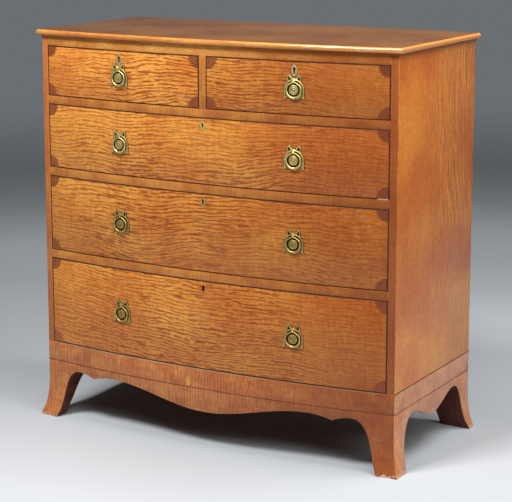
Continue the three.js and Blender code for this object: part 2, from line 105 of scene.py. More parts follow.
# %% Node helpers
def placed(kind, inputs, tree=None, **settings):
    """Add a node. Each input gets a value, or a socket to link, and a socket also says which tree it is."""
    sockets = [value for value in inputs.values() if isinstance(value, bpy.types.NodeSocket)]
    tree = tree or sockets[0].id_data
    made = tree.nodes.new(kind)
    for name, value in settings.items():
        setattr(made, name, value)
    for name, value in inputs.items():
        if isinstance(value, bpy.types.NodeSocket):
            tree.links.new(value, made.inputs[name])
        else:
            made.inputs[name].default_value = value
    return made


def mixed(amount, first, second, blend_type="MIX"):
    inputs = {0: amount, 6: first, 7: second}
    return placed("ShaderNodeMix", inputs, data_type="RGBA", blend_type=blend_type).outputs[2]


def worked(operation, first, second=0.0):
    return placed("ShaderNodeMath", {0: first, 1: second}, operation=operation).outputs[0]


def times(first, second):
    return worked("MULTIPLY", first, second)


def plus(first, second):
    return worked("ADD", first, second)


def eased(value, low, high, to_low=0.0, to_high=1.0):
    ends = {"Value": value, "From Min": low, "From Max": high, "To Min": to_low, "To Max": to_high}
    return placed("ShaderNodeMapRange", ends, interpolation_type="SMOOTHSTEP").outputs["Result"]


def parted(vector):
    return placed("ShaderNodeSeparateXYZ", {0: vector}).outputs


def joined(x, y, z=0.0):
    return placed("ShaderNodeCombineXYZ", {0: x, 1: y, 2: z}).outputs[0]


def marked(tree, name):
    """A number that the mesh carries as an attribute."""
    return placed("ShaderNodeAttribute", {}, tree, attribute_name=name).outputs["Fac"]


def added(group, inputs):
    return placed("ShaderNodeGroup", inputs, node_tree=group).outputs


def noise(vector, scale, detail=2.0, roughness=0.5):
    inputs = {"Vector": vector, "Scale": scale, "Detail": detail, "Roughness": roughness}
    return placed("ShaderNodeTexNoise", inputs).outputs[0]


def paint(red, green, blue, share=1.0):
    """A screen colour, each number from 0 to 255, as the linear colour of a shader, or a share of it."""
    def linear(value):
        level = value / 255
        return level / 12.92 if level <= 0.04045 else ((level + 0.055) / 1.055) ** 2.4
    return (linear(red) * share, linear(green) * share, linear(blue) * share, 1.0)


def new_material(name):
    """An empty material, its tree, and the place of every point on the object."""
    material = bpy.data.materials.new(name)
    material.use_nodes = True
    tree = material.node_tree
    tree.nodes.clear()
    return material, tree, placed("ShaderNodeTexCoord", {}, tree).outputs["Object"]


# %% [markdown]
# ## Shared effects
# Every polished face of this chest shows the same kinds of mark, so each is a node group: the figure
# of satinwood, the paler arrises where polish has rubbed off, and the scuffs near the floor. A group
# gives out masks, and each material decides how strongly and in which colour they show.


# %% Start and end of a node group
def shader_group(name, numbers, outputs):
    """A group that takes a vector and some numbers, and gives out masks."""
    tree = bpy.data.node_groups.new(name, "ShaderNodeTree")
    tree.interface.new_socket("Vector", in_out="INPUT", socket_type="NodeSocketVector")
    for label, value in numbers.items():
        socket = tree.interface.new_socket(label, in_out="INPUT", socket_type="NodeSocketFloat")
        socket.default_value = value
    for label in outputs:
        tree.interface.new_socket(label, in_out="OUTPUT", socket_type="NodeSocketFloat")
    return tree, tree.nodes.new("NodeGroupInput").outputs, tree.nodes.new("NodeGroupOutput").inputs


def gives(outputs, masks):
    for label, mask in masks.items():
        mask.id_data.links.new(mask, outputs[label])


# %% [markdown]
# Satinwood figure is thin dark lines that run with the grain, a finger's width or less apart. They bend
# in slow arches, break off, and shimmer across in fine ripples. A sine across the board gives the lines
# their spacing, and noise that is stretched along the grain shifts and breaks them. The vector comes in
# with the grain along its X and the width of the board along its Y.

# %% Figured grain group
figure, figure_in, figure_out = shader_group(
    "figured grain",
    {"Streak Length": 0.05, "Streak Width": 0.011, "Wander": 0.05, "Seed": 0.0, "Cloud Scale": 5.5},
    ["Streaks", "Flecks", "Ripple", "Fibres", "Cloud"],
)
axes = parted(figure_in["Vector"])
seeded = joined(axes[0], axes[1], figure_in["Seed"])
slow = worked("SUBTRACT", noise(seeded, 2.6, 1.0), 0.5)
quick = worked("SUBTRACT", noise(seeded, 30.0, 1.0), 0.5)
bend = plus(slow, times(quick, 0.07))
wandering = plus(axes[1], times(bend, figure_in["Wander"]))


def figure_noise(length, width, seed, detail):
    along = worked("DIVIDE", axes[0], length)
    across = worked("DIVIDE", wandering, width)
    third = plus(figure_in["Seed"], seed)
    return noise(joined(along, across, third), 1.0, detail)


def shortened(socket, share):
    return times(figure_in[socket], share)


long_streaks = figure_noise(figure_in["Streak Length"], figure_in["Streak Width"], 0.0, 1.2)
uneven = figure_noise(shortened("Streak Length", 2.2), shortened("Streak Width", 5.0), 3.0, 1.5)
phase = worked("DIVIDE", wandering, shortened("Streak Width", 0.33))
phase = plus(phase, times(uneven, 14.0))
lines = eased(worked("SINE", phase), 0.0, 0.95)
breaks = eased(figure_noise(shortened("Streak Length", 0.4), 0.0042, 11.0, 1.0), 0.3, 0.5)
streaks = worked("MAXIMUM", lines, eased(long_streaks, 0.58, 0.66))
streaks = times(streaks, breaks)
threads = figure_noise(shortened("Streak Length", 0.4), shortened("Streak Width", 0.5), 5.0, 1.0)
streaks = worked("MAXIMUM", streaks, eased(threads, 0.56, 0.64, 0.0, 0.6))
strength = eased(noise(seeded, 3.4, 1.0), 0.34, 0.52, 0.6, 1.0)
gives(figure_out, {
    "Streaks": times(streaks, strength),
    "Flecks": eased(figure_noise(0.012, 0.0024, 41.0, 2.0), 0.54, 0.68),
    "Ripple": eased(figure_noise(0.009, 0.028, 23.0, 2.0), 0.35, 0.7),
    "Fibres": figure_noise(0.025, 0.0011, 31.0, 2.0),
    "Cloud": eased(noise(seeded, figure_in["Cloud Scale"]), 0.32, 0.68),
})
print("figured grain group:", len(figure.nodes), "nodes")

# %% [markdown]
# The boards get narrow bevels further on, and each bevel face is marked with an attribute named
# "arris". Polish wears from such edges in patches, so the mark is broken up with noise.

# %% Worn arris group
wear, wear_in, wear_out = shader_group("worn arris", {"Amount": 0.6}, ["Mask"])
patches = eased(noise(wear_in["Vector"], 38.0, 3.0, 0.6), 0.36, 0.6)
bare = times(marked(wear, "arris"), patches)
gives(wear_out, {"Mask": times(bare, wear_in["Amount"])})

# %% [markdown]
# Feet are kicked and mopped. Their last few centimetres carry pale chips and a darker stain, which
# fade out with height.

# %% Floor scuffs group
scuffs, scuffs_in, scuffs_out = shader_group("floor scuffs", {"Height": 0.022}, ["Chips", "Stain"])
rise = worked("DIVIDE", parted(scuffs_in["Vector"])[2], scuffs_in["Height"])
lowness = eased(rise, 0.0, 1.0, 1.0, 0.0)
spots = noise(scuffs_in["Vector"], 160.0, 3.0, 0.65)
chips = eased(plus(spots, times(lowness, 0.22)), 0.66, 0.74)
blotches = eased(noise(scuffs_in["Vector"], 30.0), 0.3, 0.7)
gives(scuffs_out, {"Chips": times(chips, lowness), "Stain": times(lowness, blotches)})
print("shared groups:", [group.name for group in bpy.data.node_groups])

# %% [markdown]
# ## Polished veneers
# One function makes every wooden finish. It is told which axis the grain runs along and which lies
# across it, a pale, a middle and a dark colour, and how bold the streaks are. The same figure then
# serves a golden drawer front, a calmer side and the plain wood inside.

# %% Wood material
BARE_WOOD = paint(224, 186, 158)


def wood(name, grain, colours, streaks, size, wander, seed, ripple, share=1.0, roughness=0.38, coat=0.2,
         gloss=0.22, worn=0.5, flecks=0.0, clouds=5.5, painted_shade=None, scuffed=False, shaded=False,
         fading=False, rearwards=False):
    pale, middle, dark = (paint(*colour, share) for colour in colours)
    material, tree, place = new_material(name)
    axis = parted(place)
    along, across = ("XYZ".index(letter) for letter in grain)
    marks = added(figure, {
        "Vector": joined(axis[along], axis[across]),
        "Streak Length": size[0],
        "Streak Width": size[1],
        "Wander": wander,
        "Seed": plus(marked(tree, "plank"), seed),
        "Cloud Scale": clouds,
    })

    colour = mixed(marks["Cloud"], pale, middle)
    # Painted shade, multiplied into the colour more and more along one axis.
    if painted_shade:
        turn, letter, start, end = painted_shade
        reached = eased(axis["XYZ".index(letter)], start, end)
        colour = mixed(reached, colour, turn, "MULTIPLY")
    colour = mixed(times(marks["Ripple"], ripple), colour, middle, "MULTIPLY")
    bold = times(marks["Streaks"], streaks)
    if fading:
        off_middle = worked("ABSOLUTE", axis[0])
        bold = times(bold, eased(off_middle, 0.22, 0.5, 1.0, 0.6))
    if rearwards:
        bold = times(bold, eased(axis[1], -0.1, 0.1, 0.3, 1.0))
        bold = times(bold, eased(axis[2], 0.3, 0.65, 0.3, 1.0))
    colour = mixed(bold, colour, dark)
    colour = mixed(times(marks["Flecks"], flecks), colour, pale, "SCREEN")
    colour = mixed(eased(marks["Fibres"], 0.42, 0.68, 0.0, 0.22), colour, dark)
    rubbed = added(wear, {"Vector": place, "Amount": worn})["Mask"]
    colour = mixed(rubbed, colour, pale)
    if shaded:
        colour = mixed(times(marked(tree, "shade"), 0.6), colour, dark)
    if scuffed:
        kicked = added(scuffs, {"Vector": place})
        colour = mixed(times(kicked["Stain"], 0.5), colour, dark)
        colour = mixed(times(kicked["Chips"], 0.75), colour, BARE_WOOD)

    grip = plus(roughness, times(marks["Fibres"], 0.12))
    grip = plus(grip, times(rubbed, 0.15))
    bump = placed("ShaderNodeBump", {"Height": marks["Fibres"], "Strength": 0.12, "Distance": 0.0004})
    surface = placed("ShaderNodeBsdfPrincipled", {
        "Base Color": colour,
        "Roughness": grip,
        "Normal": bump.outputs[0],
        "Specular IOR Level": 0.25,
        "Coat Weight": coat,
        "Coat Roughness": gloss,
    })
    placed("ShaderNodeOutputMaterial", {"Surface": surface.outputs[0]})
    return material


# %% Golden fronts, one flitch of veneer to each drawer, each at its own brightness
GOLD = ((246, 170, 76), (226, 140, 60), (138, 60, 20))
# Painted shade: a colour that a wood is multiplied by, more and more along an axis, from one place on it
# to another. It darkens the fronts towards the right, and the side from its foot up to 0.55 m and above.
FRONT_PAINTED_SHADE = (paint(194, 169, 153), "X", -0.15, 0.48)
SIDE_PAINTED_SHADE = (paint(228, 213, 208), "Z", 0.2, 0.55)
front_veneer = {}
# Each drawer's colours are scaled by its share, mostly lower further down and on the right: partly the
# drawer's own tone, partly painted shade.
for drawer, share, size, seed in (
    ("drawer_1_left", 1.0, (0.055, 0.0042), 1.7),
    ("drawer_1_right", 0.88, (0.060, 0.0042), 4.2),
    ("drawer_2", 0.9, (0.060, 0.0046), 7.9),
    ("drawer_3", 0.81, (0.060, 0.0046), 12.4),
    ("drawer_4", 0.84, (0.055, 0.0046), 17.1),
):
    front_veneer[drawer] = wood(f"{drawer}_satinwood", "XZ", GOLD, 0.9, size, 0.1, seed, 0.3, share=share,
                                painted_shade=FRONT_PAINTED_SHADE, fading=True, flecks=0.16)

# %% The other woods
side_wood = wood(
    "side_satinwood", "ZY", ((236, 156, 62), (211, 118, 46), (142, 70, 24)), 0.7,
    (0.11, 0.0094), 0.13, 3.3, 0.2, coat=0.45, painted_shade=SIDE_PAINTED_SHADE, rearwards=True, flecks=0.3,
)
stile_wood = wood(
    "stile_satinwood", "ZX", ((208, 130, 68), (186, 108, 54), (124, 62, 28)), 0.4,
    (0.08, 0.006), 0.02, 5.1, 0.2, painted_shade=FRONT_PAINTED_SHADE,
)
rail_wood = wood(
    "rail_crossbanding", "ZX", ((212, 140, 64), (186, 112, 50), (116, 62, 26)), 0.3,
    (0.03, 0.0044), 0.02, 8.8, 0.2, painted_shade=FRONT_PAINTED_SHADE, clouds=16, flecks=0.14,
)
top_rail_wood = wood(
    "top_rail_satinwood", "XZ", ((240, 172, 88), (212, 136, 60), (140, 78, 34)), 0.4,
    (0.04, 0.0030), 0.02, 11.3, 0.25, painted_shade=FRONT_PAINTED_SHADE, clouds=9, flecks=0.08,
)
red_string_wood = wood(
    "red_stringing", "XZ", ((128, 56, 34), (106, 44, 28), (60, 26, 16)), 0.3,
    (0.03, 0.004), 0.01, 33.0, 0.1, worn=0.0,
)
# The inner faces of the feet, the backs of the back feet and their corner blocks are painted dark: partly
# unpolished wood, partly painted shade.
bracket_inside = wood(
    "inside_of_brackets", "ZX", ((112, 60, 48), (92, 46, 38), (56, 26, 24)), 0.5,
    (0.06, 0.004), 0.02, 35.0, 0.1, worn=0.0, roughness=0.5, coat=0.0,
)
base_wood = wood(
    "base_crossbanding", "ZX", ((206, 136, 74), (186, 110, 64), (122, 62, 34)), 0.5,
    (0.05, 0.0044), 0.02, 2.4, 0.25, painted_shade=FRONT_PAINTED_SHADE, scuffed=True, clouds=20, flecks=0.1,
)
base_side_wood = wood(
    "base_side_crossbanding", "ZY", ((226, 150, 84), (206, 124, 68), (140, 74, 40)), 0.45,
    (0.05, 0.0044), 0.02, 6.4, 0.2, scuffed=True, coat=0.8, clouds=20, flecks=0.08,
)
# The top's satinwood is painted far darker than the fronts': painted shade.
top_wood = wood(
    "top_satinwood", "XY", ((126, 83, 46), (106, 66, 33), (79, 46, 24)), 0.35,
    (0.14, 0.010), 0.04, 9.7, 0.15, roughness=0.42,
)
edge_wood = wood(
    "moulded_edge", "XZ", ((240, 166, 78), (214, 132, 58), (148, 78, 32)), 0.35,
    (0.10, 0.008), 0.02, 6.6, 0.2, roughness=0.24, coat=1.0, worn=0.0, gloss=0.12,
)
fan_wood = wood(
    "fan_mahogany", "XZ", ((202, 122, 68), (170, 94, 52), (92, 42, 24)), 0.6,
    (0.012, 0.002), 0.01, 25.0, 0.2, worn=0.0, painted_shade=FRONT_PAINTED_SHADE, shaded=True,
)
string_wood = wood(
    "dark_stringing", "XZ", ((76, 34, 16), (58, 24, 10), (34, 14, 6)), 0.3,
    (0.03, 0.004), 0.01, 27.0, 0.1, worn=0.0, coat=0.0, roughness=0.6,
)
# A painted highlight: a pale line that stands for light caught on the band's top arris.
arris_highlight_wood = wood(
    "painted_arris_highlight", "XZ", ((214, 178, 146), (192, 150, 116), (140, 92, 62)), 0.4,
    (0.03, 0.004), 0.01, 30.0, 0.1, worn=0.0, painted_shade=FRONT_PAINTED_SHADE,
)
patch_wood = wood(
    "band_patch", "XZ", ((220, 168, 76), (200, 146, 60), (160, 106, 44)), 0.3,
    (0.02, 0.003), 0.004, 28.0, 0.1, worn=0.0,
)
flame_wood = wood(
    "let_in_veneer", "ZX", ((210, 128, 62), (190, 108, 50), (96, 44, 20)), 0.7,
    (0.03, 0.006), 0.25, 31.0, 0.3, worn=0.0,
)
pale_wood = wood(
    "bare_wood", "XZ", ((236, 218, 184), (222, 200, 160), (186, 156, 114)), 0.3,
    (0.02, 0.003), 0.004, 29.0, 0.1, roughness=0.6, coat=0.0, worn=0.0,
)

# %% Woods inside and behind
PLAIN = {"roughness": 0.6, "coat": 0.0, "worn": 0.3}
OAK = ((184, 144, 92), (160, 122, 74), (112, 80, 44))
plain_mahogany = wood(
    "plain_mahogany", "XY", ((130, 76, 44), (106, 58, 32), (68, 34, 20)), 0.4,
    (0.2, 0.010), 0.03, 14.0, 0.1, **PLAIN,
)
back_wood = wood(
    "back_boards", "ZX", ((142, 92, 54), (114, 70, 42), (74, 42, 26)), 0.5,
    (0.3, 0.010), 0.03, 15.0, 0.1, **PLAIN,
)
oak_long = wood("oak_lining", "YZ", OAK, 0.5, (0.09, 0.005), 0.02, 16.0, 0.1, **PLAIN)
oak_wide = wood("oak_crosswise", "XZ", OAK, 0.5, (0.09, 0.005), 0.02, 19.0, 0.1, **PLAIN)
oak_flat = wood("oak_bottoms", "XY", OAK, 0.5, (0.12, 0.007), 0.03, 21.0, 0.1, **PLAIN)
print("wood finishes:", len(bpy.data.materials))

# %% [markdown]
# ## Old brass
# The handles were lacquered once. What is left is a soft, slightly green gold, bright where hands
# touch it and brown in the hollows. The lower two rows are touched less and are browner. The turned and
# drawn pieces carry an attribute named "hollow" on their low points, which the material
# darkens: partly the dirt of old brass, partly painted shade.


# %% Brass material
def brass(name, bright, dull, grime_and_shade_colour, roughness):
    material, tree, place = new_material(name)
    tarnish = eased(noise(place, 180.0, 3.0, 0.6), 0.4, 0.66)
    specks = eased(noise(place, 900.0), 0.6, 0.75)
    colour = mixed(times(tarnish, 0.75), paint(*bright), paint(*dull))
    uneven = eased(noise(place, 260.0), 0.3, 0.6, 0.85, 1.0)
    # Dirt and painted shade: where the mesh is marked, the colour goes to the dark one.
    grime_and_shade_mask = times(marked(tree, "hollow"), uneven)
    colour = mixed(worked("MAXIMUM", grime_and_shade_mask, times(specks, 0.3)), colour, paint(*grime_and_shade_colour))
    grip = plus(roughness, times(tarnish, 0.14))
    bump = placed("ShaderNodeBump", {"Height": tarnish, "Strength": 0.15, "Distance": 0.0002})
    surface = placed("ShaderNodeBsdfPrincipled", {
        "Base Color": colour,
        "Roughness": plus(grip, times(grime_and_shade_mask, 0.25)),
        "Metallic": worked("SUBTRACT", 0.9, times(grime_and_shade_mask, 0.8)),
        "Specular IOR Level": 0.2,
        "Normal": bump.outputs[0],
    })
    placed("ShaderNodeOutputMaterial", {"Surface": surface.outputs[0]})
    return material


old_brass = brass("old_brass", (255, 232, 150), (208, 164, 88), (16, 9, 3), 0.3)
brown_brass = brass("brown_brass", (222, 190, 112), (152, 114, 58), (14, 8, 3), 0.34)
bright_brass = brass("bright_brass", (255, 244, 150), (250, 222, 104), (140, 100, 36), 0.36)
worn_brass = brass("worn_brass", (250, 236, 176), (176, 148, 92), (60, 42, 20), 0.4)
lock_iron = brass("lock_iron", (120, 116, 110), (88, 82, 76), (52, 40, 32), 0.5)

# %% [markdown]
# ## Floor and light
# A pale floor, whose paleness is painted by distance from a spot under the chest: painted light and
# shade, greyest far away, as a studio floor is where lamps don't reach. Far off it is painted as a glow
# in the backdrop's grey, which the camera and reflections see and which gives no light. The main lamp is
# high in front, a little to the left, so that the floor is dark under the chest and the handles throw
# shade. Four weaker ones soften it: one above the right side, one in front of it, one beside it and one
# behind.

# %% Floor
FLOOR_SPAN = 16.0
# How pale the floor is painted at a distance from a spot under the chest, as painted light and shade;
# the ramp's own two ends come first.
FLOOR_PAINTED_LIGHT = [(0.5, 0.5), (FLOOR_SPAN, 0.58), (0.75, 0.53), (1.05, 0.54), (1.4, 0.47), (1.8, 0.41),
               (2.3, 0.39), (2.9, 0.42), (3.7, 0.3), (4.7, 0.25), (6, 0.37), (8, 0.49), (12, 0.57)]
TO_SPOT = (-0.4, 0.1, 0)
GLOW_STARTS, GLOW_FULL = 3.6, 7.5


def seen_by_eye(tree):
    """1 for what the camera sees, straight, mirrored or through glass, and 0 for what only gives light."""
    rays = placed("ShaderNodeLightPath", {}, tree).outputs
    seen = worked("MAXIMUM", rays["Is Camera Ray"], rays["Is Glossy Ray"])
    return worked("MAXIMUM", seen, rays["Is Transmission Ray"])


floor_mesh = bmesh.new()
bmesh.ops.create_circle(floor_mesh, cap_ends=True, segments=96, radius=40)
floor = in_scene("floor", mesh_from("floor", floor_mesh))
floor_material, tree, place = new_material("pale_floor")
offset = placed("ShaderNodeVectorMath", {0: place, 1: TO_SPOT}, operation="ADD").outputs["Vector"]
away = placed("ShaderNodeVectorMath", {0: offset}, operation="LENGTH").outputs["Value"]
ramp = placed("ShaderNodeValToRGB", {"Fac": worked("DIVIDE", away, FLOOR_SPAN)})
greys = ramp.color_ramp.elements
for i, (distance, level) in enumerate(FLOOR_PAINTED_LIGHT):
    stop = greys[i] if i < 2 else greys.new(distance / FLOOR_SPAN)
    stop.position = distance / FLOOR_SPAN
    stop.color = (level * (0.89 + 0.11 * level), level, level * 1.05, 1)
matt = placed("ShaderNodeBsdfPrincipled", {"Base Color": ramp.outputs["Color"], "Roughness": 0.9})
# A painted glow in the backdrop's grey, seen far off instead of the lit floor.
backdrop_glow = placed("ShaderNodeEmission", {"Color": paint(106, 111, 115), "Strength": 1.0}, tree)
glow_seen = times(seen_by_eye(tree), eased(away, GLOW_STARTS, GLOW_FULL))
shown = placed("ShaderNodeMixShader", {0: glow_seen, 1: matt.outputs[0], 2: backdrop_glow.outputs[0]})
placed("ShaderNodeOutputMaterial", {"Surface": shown.outputs[0]})
floor.data.materials.append(floor_material)


# %% Lamps
def lamp(name, place, aim, width, height, watts):
    data = bpy.data.lights.new(name, "AREA")
    data.shape = "RECTANGLE"
    data.size, data.size_y, data.energy = width, height, watts
    made = in_scene(name, data)
    made.location = place
    made.rotation_euler = (Vector(aim) - Vector(place)).to_track_quat("-Z", "Y").to_euler()


lamp("main_lamp", (-0.6, -2.4, 4.2), (0, 0, 0.6), 1.2, 1.0, 195)
lamp("overhead_lamp", (1.5, 0.1, 3.3), (0.6, 0, 0.2), 1.6, 1.6, 74)
lamp("fill_lamp", (2.3, -3.0, 3.9), (0.2, 0, 0.4), 2.4, 1.8, 60)
lamp("side_lamp", (3.8, -1.5, 2.7), (0, 0, 0.6), 2.0, 2.0, 45)
lamp("rear_lamp", (2.4, 1.3, 3.2), (0.5, 0, 0.3), 2.0, 2.0, 15)

SKY_GLOW = (0.025, 0.025, 0.026, 1)
world = bpy.data.worlds.new("studio")
bpy.context.scene.world = world
world.use_nodes = True
tree = world.node_tree
tree.nodes.clear()
sky = mixed(seen_by_eye(tree), SKY_GLOW, paint(112, 117, 122))
glow = placed("ShaderNodeBackground", {"Color": sky, "Strength": 1.0})
placed("ShaderNodeOutputWorld", {"Surface": glow.outputs[0]})
bpy.context.scene.view_settings.view_transform = "Standard"

# %% [markdown]
# ## The bow
# Every front of this chest lies on one circle, 3.4 m in radius. Two helpers give the face at any
# place: how far forward it stands, and a matrix that carries a shape drawn around the origin, facing
# -Y, onto it.

# %% The bow's circle
HALF_WIDTH = 0.52  # of the carcase
BOW_RADIUS = 3.4
BOW_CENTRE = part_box("top_rail")[0].y + BOW_RADIUS


def bow_y(x, inset=0.0):
    return BOW_CENTRE - math.sqrt((BOW_RADIUS - inset) ** 2 - x * x)


def on_bow(x, z):
    return Matrix.Translation((x, bow_y(x), z)) @ Matrix.Rotation(math.asin(x / BOW_RADIUS), 4, "Z")


print("bow: foremost at", round(bow_y(0), 4), "and at the corners", round(bow_y(HALF_WIDTH), 4))

# %% [markdown]
# ## Finishing a piece
# Every piece ends the same way: its bmesh becomes an object at the origin, it is smoothed except over
# sharp edges, and it rides on a body of the frame.


# %% Finish a piece
SMOOTH_UP_TO = math.radians(32)


def finish_piece(name, bm, body, slot, *materials, replaces=()):
    mesh = mesh_from(name, bm)
    mesh.shade_smooth()
    mesh.set_sharp_from_angle(angle=SMOOTH_UP_TO)
    for material in materials:
        mesh.materials.append(material)
    piece = in_scene(name, mesh)
    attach(piece, body)
    if replaces:
        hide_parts(*replaces)
    return piece


# %% [markdown]
# ## Boards with arrises
# No real board has a knife edge. A copy of each CAD board is merged, its flat faces are joined up, and
# every sharp edge gets a bevel under a millimetre wide. Those bevel faces are marked for the wear.


# %% A board from its CAD node
def eased_edges(bm, width, segments=2):
    """Bevel every sharp edge, and give back the new faces."""
    sharp = [e for e in bm.edges if e.is_manifold and e.calc_face_angle() > math.radians(40)]
    return bmesh.ops.bevel(
        bm, geom=sharp, offset=width, offset_type="OFFSET", affect="EDGES",
        segments=segments, profile=0.5, material=-1, clamp_overlap=True,
    )["faces"]


def board(node, arris=0.0007):
    bm = bmesh.new()
    bm.from_mesh(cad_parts[node].data)
    bmesh.ops.remove_doubles(bm, verts=bm.verts, dist=0.00002)
    bmesh.ops.dissolve_limit(bm, angle_limit=math.radians(0.2), verts=bm.verts, edges=bm.edges)
    mark = bm.faces.layers.float.new("arris")
    for face in eased_edges(bm, arris):
        face[mark] = 1.0
    return bm


def face_towards(bm, index, *directions):
    """Give the faces that look in these directions the material of that index."""
    for face in bm.faces:
        if any(face.normal.dot(Vector(direction)) > 0.8 for direction in directions):
            face.material_index = index


# %% Carcase boards
for hand, inwards in (("left", (1, 0, 0)), ("right", (-1, 0, 0))):
    side = board(f"carcase_side_{hand}", 0.0012)
    face_towards(side, 1, FORWARDS)
    face_towards(side, 2, inwards, BACKWARDS)
    finish_piece(f"side_{hand}", side, "carcase", "side_veneer", side_wood, stile_wood, plain_mahogany,
                 replaces=[f"carcase_side_{hand}"])
    base = board(f"base_side_{hand}")
    face_towards(base, 1, inwards, BACKWARDS)
    finish_piece(f"apron_side_{hand}", base, "carcase", "crossbanding", base_side_wood, plain_mahogany,
                 replaces=[f"base_side_{hand}"])
base = board("base_front")
face_towards(base, 1, BACKWARDS, UPWARDS)
finish_piece("apron_front", base, "carcase", "crossbanding", base_wood, plain_mahogany,
             replaces=["base_front"])
for node in ("top_rail", "short_drawer_deck", "rail_2", "rail_3", "partition"):
    rail = board(node, 0.0008)
    for face in rail.faces:
        at_front = face.normal.y < -0.8 or face.calc_center_median().y < bow_y(0.5, 0.002)
        face.material_index = 0 if at_front else 1
    finish_piece(f"{node}_banded", rail, "carcase", "crossbanding",
                 top_rail_wood if node == "top_rail" else rail_wood, plain_mahogany, replaces=[node])
for node in ("dust_board_2", "dust_board_3", "bottom_board"):
    finish_piece(f"{node}_plain", board(node), "carcase", "mahogany", plain_mahogany, replaces=[node])
print("carcase boards done")

# %% Feet
FEET = {"front_left": (-1, -1), "front_right": (1, -1), "back_left": (-1, 1), "back_right": (1, 1)}
for corner, (side, end) in FEET.items():
    foot = board(f"foot_{corner}", 0.0009)
    for face in foot.faces:
        outer = 0 if face.normal.y * end > 0.6 else 1 if face.normal.x * side > 0.5 else 2
        face.material_index = 2 if outer == 0 and end > 0 else outer
    finish_piece(f"bracket_{corner}", foot, "carcase", "crossbanding", base_wood, base_side_wood,
                 bracket_inside, replaces=[f"foot_{corner}"])

# %% [markdown]
# Two thin brackets would snap, so each foot has a block glued into its corner and sawn to the same
# curve. The block is drawn from floor to arch: a plane cuts the foot at every level, and the cut says how
# far in the curve reaches there.


# %% Corner blocks of the feet
BLOCK_LEVELS = [0.001 + 0.0155 * step for step in range(9)]
BLOCK_OUTSIDE = 0.508


def cut_through(node, z):
    bm = bmesh.new()
    bm.from_mesh(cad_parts[node].data)
    everything = bm.verts[:] + bm.edges[:] + bm.faces[:]
    made = bmesh.ops.bisect_plane(bm, geom=everything, plane_co=(0, 0, z), plane_no=UPWARDS)["geom_cut"]
    points = [vert.co.copy() for vert in only(VERT, made)]
    bm.free()
    return points


def block_plan(corner, end, z):
    """The inner side of a block at one level, and its two ends; the front ones lean back as they rise."""
    low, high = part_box(f"foot_{corner}")
    points = cut_through(f"foot_{corner}", z)
    nearest = min(abs(point.x) for point in points)
    if end < 0:
        return nearest + 0.0004, low.y + 0.03, -0.192 + 0.4 * z
    return nearest + 0.012, high.y - 0.018, min(point.y for point in points) + 0.0006


for corner, (side, end) in FEET.items():
    block = bmesh.new()
    face = block.faces.new([block.verts.new() for _ in range(4)])
    for z in BLOCK_LEVELS:
        if z > BLOCK_LEVELS[0]:
            face = only(FACE, bmesh.ops.extrude_face_region(block, geom=[face])["geom"])[0]
        inner, near, far = block_plan(corner, end, z)
        places = ((inner, near), (inner, far), (BLOCK_OUTSIDE, far), (BLOCK_OUTSIDE, near))
        for vert, (x, y) in zip(face.verts, places):
            vert.co = (x * side, y, z)
    bmesh.ops.recalc_face_normals(block, faces=block.faces)
    finish_piece(f"foot_block_{corner}", block, "carcase", "mahogany", bracket_inside)
print("corner blocks:", len(FEET))

# %% [markdown]
# ## Sweeping and turning
# Inlaid lines, ribbons and rings are all one outline carried along a path, so one helper does that: it
# extrudes the outline step by step and turns each new loop to the next frame of the path. Bosses and
# posts are turned instead, by spinning an outline round an axis. Each point of an outline carries a
# third number, which is stored as the attribute "hollow" and darkens the metal there: partly
# the dirt of old brass, partly painted shade.


# %% Sweep helpers
def blank():
    bm = bmesh.new()
    bm.verts.layers.float.new("hollow")
    return bm


def straight_out(place):
    return Vector(FORWARDS)


def off_bow(place):
    return Vector((place.x, place.y - BOW_CENTRE, 0)).normalized()


def frames_along(path, outward, closed=False):
    """A matrix for each point of a path: X lies across it, Y points outwards and Z runs along it."""
    frames = []
    for i, here in enumerate(path):
        before = path[i - 1] if i or closed else here
        after = path[(i + 1) % len(path)] if closed or i + 1 < len(path) else here
        along = (after - before).normalized()
        across = outward(here).cross(along).normalized()
        turn = Matrix((across, along.cross(across), along)).transposed().to_4x4()
        frames.append(Matrix.Translation(here) @ turn)
    return frames


def joined_up(bm, points):
    """A closed loop of edges through new points."""
    return [bm.edges.new((points[i - 1], points[i])) for i in range(len(points))]


def swept(bm, outline, frames, closed=False):
    hollow = bm.verts.layers.float["hollow"]
    corners = []
    for across, out, depth in outline:
        corners.append(bm.verts.new(frames[0] @ Vector((across, out, 0))))
        corners[-1][hollow] = depth
    first = loop = joined_up(bm, corners)
    following = frames[1:] + frames[:1] if closed else frames[1:]
    for before, after in zip(frames, following):
        made = bmesh.ops.extrude_edge_only(bm, edges=loop)["geom"]
        loop = only(EDGE, made)
        bmesh.ops.transform(bm, matrix=after @ before.inverted(), verts=only(VERT, made))
    if not closed:
        bmesh.ops.edgeloop_fill(bm, edges=first)
        bmesh.ops.edgeloop_fill(bm, edges=loop)


def turned(bm, outline, centre, axis, steps):
    """Spin an outline of (radius, height, hollow) points once round an axis."""
    axis, centre = Vector(axis), Vector(centre)
    side = axis.orthogonal().normalized()
    hollow = bm.verts.layers.float["hollow"]
    line = []
    for radius, height, depth in outline:
        line.append(bm.verts.new(centre + axis * height + side * radius))
        line[-1][hollow] = depth
    edges = [bm.edges.new(pair) for pair in zip(line, line[1:])]
    bmesh.ops.spin(
        bm, geom=line + edges, cent=centre, axis=axis, angle=2 * math.pi, steps=steps, use_merge=True,
    )


def closed_up(bm, distance=0.000001):
    """Merge the seams and poles, and point every face outwards."""
    bmesh.ops.remove_doubles(bm, verts=bm.verts, dist=distance)
    bmesh.ops.recalc_face_normals(bm, faces=bm.faces)
    return bm


